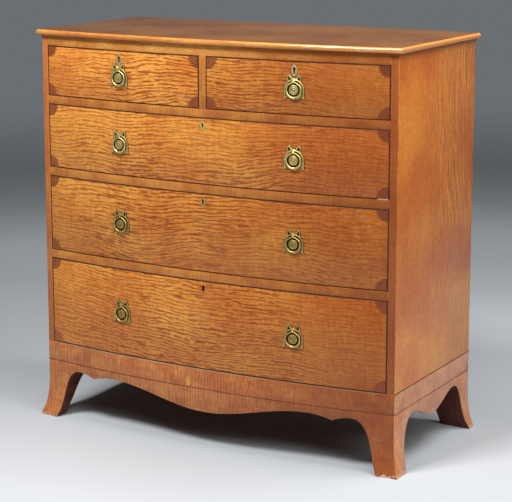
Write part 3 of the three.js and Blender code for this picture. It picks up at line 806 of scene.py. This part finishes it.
def drawn_out(bm, faces, way):
    """Extrude flat faces into a solid, and move the new end."""
    made = bmesh.ops.extrude_face_region(bm, geom=faces)["geom"]
    bmesh.ops.translate(bm, verts=only(VERT, made), vec=way)
    bmesh.ops.recalc_face_normals(bm, faces=bm.faces)


def brick(bm, middle, size, turn=0.0):
    """A block of wood or metal, added to a bmesh; most callers bevel its edges afterwards."""
    place = Matrix.Translation(middle) @ Matrix.Rotation(turn, 4, "Z") @ Matrix.Diagonal((*size, 1))
    return bmesh.ops.create_cube(bm, size=1, matrix=place)["verts"]


# %% [markdown]
# ## The top board
# The top overhangs the carcase by 12 mm and ends in a fat rounded nose over a narrow fillet, with a sharp
# step between them that stays dark. Its plan is drawn once as a loop of edges and extruded level by
# level; at every level the loop is pushed out to the moulding's profile, on the bow and on both ends
# but never at the back.

# %% Top board
# Height and overhang at each level, in millimetres.
THUMB = [(0, 1.2), (4.6, 1.2), (4.8, 0.9), (6.0, 0.9), (6.2, 6.2), (6.8, 8.2), (8.4, 10.4), (10.8, 11.7),
         (13.2, 12), (15.8, 11.5), (18.2, 9.9), (20.0, 7.4), (21, 4.2)]
FILLET_TOP = 0.006
top_low, top_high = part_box("top_board")
bm = bmesh.new()
share = bm.verts.layers.float.new("share")


def set_level(verts, height, overhang):
    """Lay the loop out at one level. A point's share runs from -1 to 1 along the bow; 2 is a back corner."""
    height, overhang = height / 1000, overhang / 1000
    for vert in verts:
        x = (HALF_WIDTH + overhang) * max(-1.0, min(1.0, vert[share]))
        y = top_high.y if abs(vert[share]) > 1.5 else bow_y(x, -overhang)
        vert.co = (x, y, top_low.z + height)


plan = []
for step in [i / 28 for i in range(-28, 29)] + [2.0, -2.0]:
    plan.append(bm.verts.new())
    plan[-1][share] = step
set_level(plan, *THUMB[0])
loop = joined_up(bm, plan)
bmesh.ops.edgeloop_fill(bm, edges=loop)
for level in THUMB[1:]:
    made = bmesh.ops.extrude_edge_only(bm, edges=loop)["geom"]
    loop = only(EDGE, made)
    set_level(only(VERT, made), *level)
bmesh.ops.edgeloop_fill(bm, edges=loop)
bmesh.ops.recalc_face_normals(bm, faces=bm.faces)
for face in bm.faces:
    above = face.calc_center_median().z - top_low.z
    face.material_index = 2 if above < FILLET_TOP else 0 if face.normal.z > 0.95 else 1
    if face.normal.y > 0.95:
        face.material_index = 3
finish_piece("top_moulded", bm, "carcase", "top_veneer", top_wood, edge_wood, top_rail_wood, plain_mahogany,
             replaces=["top_board"])
print("top board:", len(THUMB), "levels")

# %% [markdown]
# ## The back
# Six upright boards with small chamfers, as thin backs of this age are made, each cut from its own
# place in the plank.

# %% Back boards
BACK_BOARDS, JOINT = 6, 0.0003
low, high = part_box("back_panel")
bm = bmesh.new()
width = (high.x - low.x) / BACK_BOARDS
for i in range(BACK_BOARDS):
    middle = (low.x + width * (i + 0.5), (low.y + high.y) / 2, (low.z + high.z) / 2)
    brick(bm, middle, (width - JOINT, high.y - low.y, high.z - low.z))
eased_edges(bm, 0.0014, 1)
plank = bm.faces.layers.float.new("plank")
for face in bm.faces:
    face[plank] = math.floor((face.calc_center_median().x - low.x) / width)
finish_piece("back_boarded", bm, "carcase", "mahogany", back_wood, replaces=["back_panel"])

# %% [markdown]
# ## Keyholes
# A keyhole is a small circle whose lowest points are pulled down into a slot. The same loop cuts the
# hole through the front, with a boolean whose result is applied, and makes the opening of the plate
# that lies on it.

# %% Keyhole helpers
# Of each drawer: the keyhole's x, the top of the drawer's opening, the drop to the keyhole, and its scale.
KEYHOLES = {
    "drawer_1_left": (-0.255, 1.014, 0.0195, 1.3),
    "drawer_1_right": (0.255, 1.014, 0.0195, 1.3),
    "drawer_2": (0.0, 0.860, 0.0175, 1.0),
    "drawer_3": (0.0, 0.667, 0.0175, 1.3),
    "drawer_4": (0.0, 0.442, 0.0175, 1.0),
}
KEYHOLE_POINTS = 24
CUT_STARTS, CUT_LENGTH = -0.003, 0.018  # from in front of the wood to 15 mm inside it


def edges_of(verts):
    return list({edge for vert in verts for edge in vert.link_edges})


def keyhole_loop(bm, drawer):
    """The edges of a drawer's keyhole, which looks along -Y, around the origin."""
    size = KEYHOLES[drawer][3]
    radius, half_slot, drop = 0.0026 * size, 0.0014 * size, 0.007 * size
    verts = bmesh.ops.create_circle(bm, segments=KEYHOLE_POINTS, radius=radius, matrix=FACING)["verts"]
    for vert in verts:
        if vert.co.z < 0 and abs(vert.co.x) < half_slot:
            vert.co.z -= drop
    return edges_of(verts)


def key_place(drawer):
    x, opening_top, drop, _ = KEYHOLES[drawer]
    return on_bow(x, opening_top - drop)


def key_cut(piece, drawer):
    """Cut the keyhole into a drawer front."""
    bm = bmesh.new()
    edges = keyhole_loop(bm, drawer)
    bmesh.ops.translate(bm, verts=bm.verts, vec=(0, CUT_STARTS, 0))
    drawn_out(bm, bmesh.ops.edgeloop_fill(bm, edges=edges)["faces"], (0, CUT_LENGTH, 0))
    bm.transform(key_place(drawer))
    cutter = in_scene("key_cutter", mesh_from("key_cutter", bm))
    cut = piece.modifiers.new("keyhole", "BOOLEAN")
    cut.operation, cut.solver, cut.object = "DIFFERENCE", "EXACT", cutter
    shape = piece.evaluated_get(bpy.context.evaluated_depsgraph_get())
    result = bpy.data.meshes.new_from_object(shape)
    piece.modifiers.clear()
    piece.data = result
    bpy.data.objects.remove(cutter)


# %% Drawers
LININGS = {"side_left": oak_long, "side_right": oak_long, "back": oak_wide, "bottom": oak_flat}
for drawer in KEYHOLES:
    front = board(f"{drawer}_front", 0.0006)
    face_towards(front, 1, FORWARDS)
    piece = finish_piece(f"{drawer}_face", front, drawer, "drawer_veneer", plain_mahogany,
                         front_veneer[drawer], replaces=[f"{drawer}_front"])
    key_cut(piece, drawer)
    for part, finish in LININGS.items():
        finish_piece(f"{drawer}_{part}_lining", board(f"{drawer}_{part}"), drawer, "oak_lining", finish,
                     replaces=[f"{drawer}_{part}"])
    print(drawer, "front:", len(piece.data.polygons), "faces")

# %% [markdown]
# ## Escutcheons
# Each plate is a ring of faces between an outer loop and the keyhole, given a little thickness and a
# softened edge. The short drawers have worn brass ovals, the second row a bright brass oval, the third a
# thin brass lining, and the lowest only a stained rim round its slot.


# %% Escutcheon helper
def escutcheon(drawer, half_width, half_height, point, thickness, material, slot="brass", middle=-0.0042):
    bm = blank()
    inner = keyhole_loop(bm, drawer)
    facing = Matrix.Translation((0, 0, middle)) @ FACING
    outer = bmesh.ops.create_circle(bm, segments=len(inner), radius=1, matrix=facing)["verts"]
    for vert in outer:
        vert.co.x = math.copysign(abs(vert.co.x) ** point * half_width, vert.co.x)
        vert.co.z = middle + (vert.co.z - middle) * half_height
    bmesh.ops.bridge_loops(bm, edges=inner + edges_of(outer))
    drawn_out(bm, bm.faces[:], (0, -thickness, 0))
    eased_edges(bm, thickness * 0.4)
    # The half of the plate nearer the wood is marked to be darker.
    hollow = bm.verts.layers.float["hollow"]
    for vert in bm.verts:
        vert[hollow] = 0.5 if vert.co.y > -thickness * 0.5 else 0.0
    bm.transform(key_place(drawer))
    finish_piece(f"{drawer}_escutcheon", bm, drawer, slot, material)


# %% Escutcheons
escutcheon("drawer_1_left", 0.0078, 0.0145, 1.2, 0.0009, worn_brass)
escutcheon("drawer_1_right", 0.0078, 0.0145, 1.2, 0.0009, worn_brass)
escutcheon("drawer_2", 0.0062, 0.011, 1.0, 0.0009, bright_brass, middle=-0.0033)
escutcheon("drawer_3", 0.0056, 0.0106, 0.8, 0.0006, old_brass)
escutcheon("drawer_4", 0.0040, 0.0082, 0.8, 0.0003, string_wood, "mahogany", middle=-0.0033)
print("escutcheons:", len(KEYHOLES))

# %% [markdown]
# ## Corner fans and stringing
# Every drawer front has a quarter of a fan let into each corner: five rays of reddish wood, each
# shaded on one side, which inlayers do by dipping the veneer in hot sand. A dark line runs round the
# whole front at its edge, partly stringing and partly painted shadow of the gap round the drawer, and a
# finer one round each fan. The fans are spun from one edge and then pushed onto the bow.

# %% Fans
FAN_REACH = 0.0285
FAN_EDGE = 0.0020
FAN_PROUD, FAN_THICKNESS = 0.00018, 0.0005
RAYS = 5


def fan(bm, corner, right, up, reach):
    """A quarter disc at a corner, opening to the right or left and up or down, with shaded rays."""
    shade = bm.faces.layers.float["shade"]
    line = [bm.verts.new(corner + Vector((right * reach * share, 0, 0))) for share in (0, 0.35, 0.7, 1)]
    edges = [bm.edges.new(pair) for pair in zip(line, line[1:])]
    turn = -math.pi / 2 * right * up
    before = set(bm.faces)
    bmesh.ops.spin(bm, geom=line + edges, cent=corner, axis=BACKWARDS, angle=turn, steps=3 * RAYS)
    for face in bm.faces:
        if face not in before:
            place = face.calc_center_median() - corner
            face[shade] = math.atan2(abs(place.z), abs(place.x)) / (math.pi / 2) * RAYS % 1


# %% [markdown]
# A fan's points are then laid on the bow and given half a millimetre of thickness, most of it inside
# the drawer front, as inlay is.

# %% Fans and lines on every drawer
SIDE_INSET, TOP_INSET, END_GAP = 0.0011, 0.0012, 0.0002
ARC = [i / 12 * math.pi / 2 for i in range(13)]


def strip(half_width, depth, height):
    """The outline of a line of inlay, which stands a hair above the wood."""
    return [(across, out, 0) for across, out in (
        (-half_width, -depth), (-half_width, height), (half_width, height), (half_width, -depth))]


def laid(points):
    return [Vector((x, bow_y(x), z)) for x, z in points]


def straight(start, end, steps):
    return laid([start[k] + (end[k] - start[k]) * i / steps for k in (0, 1)] for i in range(steps + 1))


def inlay_line(bm, outline, path):
    swept(bm, outline, frames_along(path, off_bow))


STRING = strip(0.0005, 0.0003, 0.00012)
# Partly stringing, partly painted shadow of the gap round the drawer, which is why it is wide.
EDGING_AND_GAP_SHADOW = strip(0.001, 0.0012, 0.00012)
for drawer in KEYHOLES:
    low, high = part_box(f"{drawer}_front")
    fans = bmesh.new()
    fans.faces.layers.float.new("shade")
    lines = blank()
    for side, end_x in ((-1, low.x), (1, high.x)):
        x = end_x - side * FAN_EDGE
        for up, z in ((1, low.z + FAN_EDGE), (-1, high.z - FAN_EDGE)):
            fan(fans, Vector((x, 0, z)), -side, up, FAN_REACH - FAN_EDGE)
            path = [(x - side * FAN_REACH * math.cos(a), z + up * FAN_REACH * math.sin(a)) for a in ARC]
            inlay_line(lines, STRING, laid(path))
        edge = end_x - side * SIDE_INSET
        inlay_line(lines, EDGING_AND_GAP_SHADOW, straight((edge, low.z + END_GAP), (edge, high.z - END_GAP), 2))
    for z in (low.z + TOP_INSET, high.z - TOP_INSET):
        inlay_line(lines, EDGING_AND_GAP_SHADOW, straight((low.x + END_GAP, z), (high.x - END_GAP, z), 24))
    closed_up(fans)
    for vert in fans.verts:
        vert.co.y = bow_y(vert.co.x) - FAN_PROUD
    if sum(face.normal.y for face in fans.faces) > 0:
        bmesh.ops.reverse_faces(fans, faces=fans.faces)
    bmesh.ops.solidify(fans, geom=fans.faces[:], thickness=FAN_THICKNESS)
    finish_piece(f"{drawer}_fans", fans, drawer, "mahogany", fan_wood)
    finish_piece(f"{drawer}_stringing", closed_up(lines), drawer, "mahogany", string_wood)
print("fans:", 4 * len(KEYHOLES))

# %% Lines round the base
BASE_LINE = strip(0.001, 0.0004, 0.0002)
BAND_TOP, BAND_FOOT = 0.2066, 0.1552
back_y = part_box("carcase_side_left")[1].y


def front_line(name, z, material, reach=HALF_WIDTH):
    lines = blank()
    inlay_line(lines, BASE_LINE, straight((-reach, z), (reach, z), 32))
    finish_piece(name, closed_up(lines), "carcase", "mahogany", material)


def side_lines(name, z, material):
    lines = blank()
    for side in (-1, 1):
        path = [Vector((side * HALF_WIDTH, y, z)) for y in (bow_y(HALF_WIDTH), back_y - 0.0005)]
        swept(lines, BASE_LINE, frames_along(path, lambda place: Vector((side, 0, 0))))
    finish_piece(name, closed_up(lines), "carcase", "mahogany", material)


# The pale front line is a painted highlight on the band's top arris; the sides have a dark string.
front_line("band_top_line", BAND_TOP, arris_highlight_wood, reach=0.499)
side_lines("band_top_side_lines", BAND_TOP, string_wood)
front_line("band_foot_line", BAND_FOOT, red_string_wood)
side_lines("band_foot_side_lines", BAND_FOOT, red_string_wood)

# %% [markdown]
# ## The handles
# Each handle is stamped and turned brass: a ribbon tied in a bow above a dished disc, its ends falling
# down both sides, a turned boss in the middle, and a ring that hangs from an eye under the knot. It is
# drawn once in millimetres round the middle of its boss, facing -Y, and a copy is carried to each of
# the eight places on the bow.


# %% Smooth path helper
CURVE_STEPS = 6


def smooth_line(points):
    """A smooth curve through (x, z, height) points, in short steps between each two of them."""
    points = [Vector((x, -height, z)) for x, z, height in points]
    ends = [points[0] * 2 - points[1], *points, points[-1] * 2 - points[-2]]
    line = []
    for a, b, c, d in zip(ends, ends[1:], ends[2:], ends[3:]):
        for t in (step / CURVE_STEPS for step in range(CURVE_STEPS)):
            bend = (a * 2 - b * 5 + c * 4 - d) * t ** 2 + (b * 3 - a - c * 3 + d) * t ** 3
            line.append((b * 2 + (c - a) * t + bend) / 2)
    return [*line, points[-1]]


# %% Ribbons
# The outline is (across, out, hollow), a strand's points are (x, z, height), and each strand's
# widths are spread evenly along it. The ribbon's low edges are marked to go dark, a painted shadow round
# each strand.
RIBBON = [(-2.7, -0.4, 1), (-2.6, 0.5, 1), (-1.75, 1.0, 1), (-1.5, 1.8, 0), (-1.0, 2.1, 0), (0, 1.8, 0),
          (1.0, 2.1, 0), (1.5, 1.8, 0), (1.75, 1.0, 1), (2.6, 0.5, 1), (2.7, -0.4, 1)]
STRANDS = [
    [(-13.6, 37, 0.5), (-10.6, 32, 0.6), (-6.6, 27.6, 0.7), (0, 24.2, 0.8), (7.6, 22.8, 0.7),
     (14.8, 19.4, 0.6), (20.6, 13.6, 0.5), (24.2, 6, 0.5), (25.2, -3, 0.5), (24.9, -12, 0.5),
     (25, -18, 0.5), (26.4, -23, 0.5)],
    [(-13.6, 37, 0.45), (-16.8, 30.6, 0.45), (-17.2, 25, 0.4), (-15.4, 18.6, 0.3)],
    [(24.6, -9, 0.4), (23.2, -15, 0.4), (21, -20.8, 0.4)],
]
WIDTHS = [(0.8, 1.0, 1.05, 1.0, 0.95, 0.9, 1.0), (0.76, 0.95, 0.85), (0.55, 0.75, 0.9)]


def ribbon(bm, strand, widths, side):
    line = smooth_line([(x * side, z, height) for x, z, height in strand])
    frames = []
    for i, here in enumerate(frames_along(line, straight_out)):
        place = i / (len(line) - 1) * (len(widths) - 1)
        start = min(int(place), len(widths) - 2)
        width = widths[start] + (widths[start + 1] - widths[start]) * (place - start)
        frames.append(here @ Matrix.Diagonal((width, 1, 1, 1)))
    swept(bm, RIBBON, frames)


plate = blank()
for strand, widths in zip(STRANDS, WIDTHS):
    for side in (1, -1):
        ribbon(plate, strand, widths, side)
print("ribbons:", len(plate.verts), "points")

# %% [markdown]
# The loops and the tails are not open: thin metal stays between the ribbons, sunk and painted black, a
# painted shadow in the openings.

# %% Sunk ground between the ribbons, painted black as shadow
PAINTED_SHADOW_GROUND = [(-12.6, 27.0, 4.3, 7.4, 14), (-24.0, -16.6, 1.8, 6.4, -6)]  # x, z, half width, half height, lean
painted_shadow_mark = plate.verts.layers.float["hollow"]
for x, z, half_width, half_height, lean in PAINTED_SHADOW_GROUND:
    for side in (1, -1):
        place = Matrix.Translation((x * side, -0.2, z)) @ Matrix.Rotation(math.radians(lean * side), 4, "Y")
        shape = place @ Matrix.Diagonal((half_width, 1, half_height, 1)) @ FACING
        verts = bmesh.ops.create_cone(plate, cap_ends=True, segments=16, radius1=1, radius2=0.9, depth=0.5,
                                      matrix=shape)["verts"]
        for vert in verts:
            vert[painted_shadow_mark] = 1.0

# %% [markdown]
# The disc and the boss are turned. Their hollows are darkened, partly for a century of polish and dirt
# and partly as painted shade, which is why the ground between the boss and the ring looks almost black.

# %% Disc, boss and post
DISC = [(0, 0.25, 1), (23.6, 0.25, 1), (24, 0.8, 0.9), (23.9, 1.6, 0.2), (23.2, 1.9, 0), (22.4, 1.5, 0.5),
        (21.4, 0.9, 1), (18, 0.6, 1), (14, 0.6, 1), (12, 0.8, 1), (0, 0.8, 1)]
BOSS = [(12.7, 0.5, 1), (12.5, 1.4, 1), (11.8, 1.9, 1), (11.5, 3.2, 0.6), (11.8, 4.4, 0.2), (12, 5.1, 0),
        (11.7, 5.8, 0), (10.9, 6.2, 0), (10, 6.1, 0.3), (9.2, 5.6, 0.85), (8.6, 5.5, 0.9), (7.8, 5.8, 0.55),
        (6.8, 6.3, 0.3), (5.8, 6.6, 0.2), (5.1, 6.4, 0.5), (4.5, 5.8, 1), (3.8, 5.7, 1), (3.1, 6.1, 0.7),
        (2.1, 6.8, 0.4), (1.1, 7.2, 0.3), (0, 7.3, 0.3)]
THREAD = [(2.45 - 0.35 * (i % 2), -20.6 - 0.4 * i, 0.5 * (i % 2)) for i in range(16)]
POST = [(0, 0.6, 0), (2.3, 0.6, 0), (2.3, -20.4, 0.3), *THREAD, (1.4, -27, 0), (0, -27, 0)]
WASHER = [(2.6, -20.05, 0), (6.8, -20.05, 0), (7, -20.6, 0), (6.6, -21, 0), (2.6, -21, 0), (2.6, -20.05, 0)]
for outline, steps in ((DISC, 64), (BOSS, 56), (POST, 20), (WASHER, 32)):
    turned(plate, outline, (0, 0, 0), FORWARDS, steps)

# %% Nut, knot and eye
nut = blank()
facing = Matrix.Translation((0, 22.9, 0)) @ FACING
bmesh.ops.create_cone(nut, cap_ends=True, segments=6, radius1=5.4, radius2=5.4, depth=3.8, matrix=facing)
eased_edges(nut, 0.4)
nut_mesh = mesh_from("nut", nut)
plate.from_mesh(nut_mesh)
bpy.data.meshes.remove(nut_mesh)

KNOT = [(3.4, 0.4, 1), (3.3, 1.3, 0.3), (2.6, 2.1, 0), (1.4, 2.5, 0), (0, 2.6, 0)]
start = len(plate.verts)
turned(plate, KNOT, (0, 0, 0), FORWARDS, 28)
plate.verts.ensure_lookup_table()
shape = Matrix.Translation((0, 0, 24.4)) @ Matrix.Diagonal((1.25, 1, 0.85, 1))
bmesh.ops.transform(plate, matrix=shape, verts=plate.verts[start:])
EYE = [(2.0, -1.7, 1), (2.3, -2, 0.5), (3.0, -2, 0), (3.3, -1.6, 0), (3.4, 0, 0), (3.3, 1.6, 0), (3.0, 2, 0),
       (2.3, 2, 0.5), (2.0, 1.7, 1), (2.0, -1.7, 1)]
EYE_STEM = [(-1.7, 2.2, 0), (1.7, 2.2, 0), (2, -2.2, 0), (-2, -2.2, 0)]
RING_OUT = 5.5
RING_RADIUS = 19.4
turned(plate, EYE, (0, -RING_OUT, RING_RADIUS), (1, 0, 0), 28)
swept(plate, EYE_STEM, frames_along([Vector((0, -0.5, 20.2)), Vector((0, -2.9, 20))],
                                    lambda place: Vector(UPWARDS)))
closed_up(plate, 0.0005)
print("backplate:", len(plate.verts), "points")

# %% [markdown]
# The ring is a closed sweep. It is thin where it passes through the eye, thick at its foot, and drawn
# to a blunt point under the knot.

# %% Ring
POINTED_TO = 1.05  # the turn, either way from the top, over which the ring is drawn inwards
RING_STEPS, GIRTH_STEPS = 72, 14
ring = blank()
path, girths = [], []
for i in range(RING_STEPS):
    turn = i / RING_STEPS * 2 * math.pi
    off_top = min(turn, 2 * math.pi - turn)
    pinch = 0.075 * math.sin(math.pi * off_top / POINTED_TO) if off_top < POINTED_TO else 0
    reach = RING_RADIUS * (1 - pinch)
    path.append(Vector((reach * math.sin(turn), -RING_OUT, reach * math.cos(turn))))
    girths.append(1.3 + 1.3 * math.sqrt((1 - math.cos(turn)) / 2))
angles = [a / GIRTH_STEPS * 2 * math.pi for a in range(GIRTH_STEPS)]
outline = [(math.cos(angle), 0.94 * math.sin(angle), 0) for angle in angles]
frames = [
    here @ Matrix.Diagonal((girth, girth, 1, 1))
    for here, girth in zip(frames_along(path, straight_out, closed=True), girths)
]
swept(ring, outline, frames, closed=True)
closed_up(ring, 0.0005)
# The back of the ring, towards the plate, is marked to go dark: painted shade.
hollow = ring.verts.layers.float["hollow"]
for vert in ring.verts:
    vert[hollow] = 0.7 if vert.co.y > 0.9 - RING_OUT else 0.0
print("ring:", len(ring.verts), "points")

# %% Eight handles
HANDLE_X = 0.2554
HANDLE_Z = {"1": 0.9435, "2": 0.7705, "3": 0.5615, "4": 0.321}
in_metres = Matrix.Scale(0.001, 4)
for row, z in HANDLE_Z.items():
    finish = old_brass if row in "12" else brown_brass
    for hand, x in (("left", -HANDLE_X), ("right", HANDLE_X)):
        name = f"drawer_{row}_{hand}"
        drawer = name if row == "1" else f"drawer_{row}"
        place = on_bow(x, z) @ in_metres
        for master, kind, body, node in ((plate, "handle", drawer, "backplate"),
                                         (ring, "pull", f"ring_{row}_{hand}", "ring")):
            shape = master.copy()
            shape.transform(place)
            finish_piece(f"{name}_{kind}", shape, body, "brass", finish, replaces=[f"{name}_{node}"])
plate.free()
ring.free()
print("handles: 8")

# %% [markdown]
# ## What shows when a drawer is open
# Behind each keyhole sits a lock, let into the back of the front. The linings are joined to the front
# with dovetails, whose oak tails show on the ends of the front. Small blocks on the rails stop each
# drawer where its front comes flush.


# %% Locks
FLAT_HEAD = [(0.0042, 0, 0.8), (0.004, 0.0006, 0), (0.0014, 0.0009, 0), (0, 0.0009, 0)]
SCREW = [(0.0026, 0, 0.8), (0.0024, 0.0005, 0), (0.0009, 0.0008, 0), (0.0009, 0.0004, 1), (0, 0.0004, 1)]
LOCK_BACK = 0.0268


def lock(drawer):
    """A case, the plate on the drawer's edge and the bolt, with four screws and the head of the key pin."""
    x, opening_top, _, _ = KEYHOLES[drawer]
    top = opening_top - 0.0012
    bm = blank()
    brick(bm, (0, 0.0225, top - 0.019), (0.062, 0.009, 0.036))
    brick(bm, (0, 0.0205, top - 0.0008), (0.070, 0.013, 0.0014))
    brick(bm, (0.004, 0.0222, top - 0.0006), (0.022, 0.005, 0.0016))
    eased_edges(bm, 0.0006)
    for across in (-0.026, 0.026):
        for down in (0.007, 0.031):
            turned(bm, SCREW, (across, LOCK_BACK, top - down), BACKWARDS, 16)
    turned(bm, FLAT_HEAD, (0, LOCK_BACK, top - 0.022), BACKWARDS, 20)
    closed_up(bm)
    bm.transform(on_bow(x, 0))
    finish_piece(f"{drawer}_lock", bm, drawer, "brass", lock_iron)


for drawer in KEYHOLES:
    lock(drawer)
print("locks:", len(KEYHOLES))


# %% Dovetails
TAIL_PITCH, TAIL_LENGTH = 0.045, 0.012
FRONT_BACK = 0.0203  # from the bow to just behind the back of a drawer front


def dovetails(drawer):
    low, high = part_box(f"{drawer}_front")
    side_low, side_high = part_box(f"{drawer}_side_left")
    count = max(2, round((side_high.z - side_low.z) / TAIL_PITCH))
    pitch = (side_high.z - side_low.z) / count
    bm = bmesh.new()
    for side, x in ((-1, low.x), (1, high.x)):
        back = bow_y(x - side * 0.003, FRONT_BACK)
        for i in range(count):
            middle = Vector((x - side * 0.00075, back - TAIL_LENGTH / 2, side_low.z + pitch * (i + 0.5)))
            verts = brick(bm, middle, (0.0018, TAIL_LENGTH, pitch * 0.72))
            ends = ((0.78, [vert for vert in verts if vert.co.y > middle.y]),
                    (1.08, [vert for vert in verts if vert.co.y < middle.y]))
            for spread, end in ends:
                bmesh.ops.scale(bm, vec=(1, 1, spread), space=Matrix.Translation(-middle), verts=end)
    finish_piece(f"{drawer}_dovetails", bm, drawer, "oak_lining", oak_long)
    return count


print("dovetails:", [dovetails(drawer) for drawer in KEYHOLES])


# %% Drawer stops and glue blocks
def bow_brick(bm, x, behind, depth, z, size):
    """A block whose front stands a little behind the bow, turned to follow it."""
    brick(bm, (x, bow_y(x, behind) + depth, z), size, math.asin(x / BOW_RADIUS))


STOP_SIZE = (0.032, 0.020, 0.0048)
STOPS = {0.208: (-0.35, 0.35), 0.464: (-0.35, 0.35), 0.689: (-0.35, 0.35), 0.881: (-0.38, -0.13, 0.13, 0.38)}
stops = bmesh.new()
for base, places in STOPS.items():
    for x in places:
        bow_brick(stops, x, 0.0206, 0.011, base + STOP_SIZE[2] / 2, STOP_SIZE)
eased_edges(stops, 0.0008)
finish_piece("drawer_stops", stops, "carcase", "oak_lining", oak_wide)

BLOCK_Z = 0.1795
blocks = bmesh.new()
for x in (-0.38, -0.2, 0.0, 0.2, 0.38):
    bow_brick(blocks, x, 0.0305, 0.0, BLOCK_Z, (0.055, 0.021, 0.021))
for side in (-1, 1):
    for y in (-0.09, 0.03, 0.15):
        brick(blocks, (side * 0.4895, y, BLOCK_Z), (0.021, 0.055, 0.021))
eased_edges(blocks, 0.0015)
finish_piece("glue_blocks", blocks, "carcase", "mahogany", plain_mahogany)
print("stops:", sum(len(places) for places in STOPS.values()))

# %% [markdown]
# ## Old repairs
# A small yellow oval fills a bruise in the band, left of the middle, a piece with a different figure was
# let in to the right of it, and a sliver of new wood stands in for lost edging at the lower right corner
# of the upper long drawer.

# %% Repairs
THICKNESS, PROUD = 0.0006, 0.00015


def inlaid(name, bm, place, material):
    """Thicken a flat shape that faces -Y, so that most of it lies inside the band."""
    drawn_out(bm, bm.faces[:], (0, -THICKNESS, 0))
    bmesh.ops.translate(bm, verts=bm.verts, vec=(0, THICKNESS - PROUD, 0))
    bm.transform(place)
    finish_piece(name, bm, "carcase", "crossbanding", material)


oval = bmesh.new()
bmesh.ops.create_circle(oval, cap_ends=True, segments=20, radius=1, matrix=FACING)
for vert in oval.verts:
    vert.co = (0.0072 * vert.co.x * abs(vert.co.x) ** 0.3, 0, 0.0132 * vert.co.z + 0.002 * vert.co.x)
inlaid("band_patch", oval, on_bow(-0.048, 0.1705), patch_wood)
patch = bmesh.new()
bmesh.ops.create_grid(patch, x_segments=1, y_segments=1, size=0.5, matrix=FACING)
bmesh.ops.scale(patch, vec=(0.027, 1, 0.043), verts=patch.verts)
inlaid("band_veneer_patch", patch, on_bow(0.134, 0.181), flame_wood)

sliver = blank()
end_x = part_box("drawer_2_front")[1].x
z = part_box("drawer_2_front")[0].z + TOP_INSET
path = straight((end_x - 0.0275, z), (end_x - 0.0022, z), 3)
inlay_line(sliver, strip(0.001, 0.0012, 0.0002), path)
finish_piece("edging_sliver", closed_up(sliver), "drawer_2", "drawer_veneer", pale_wood)
print("repairs: 3")
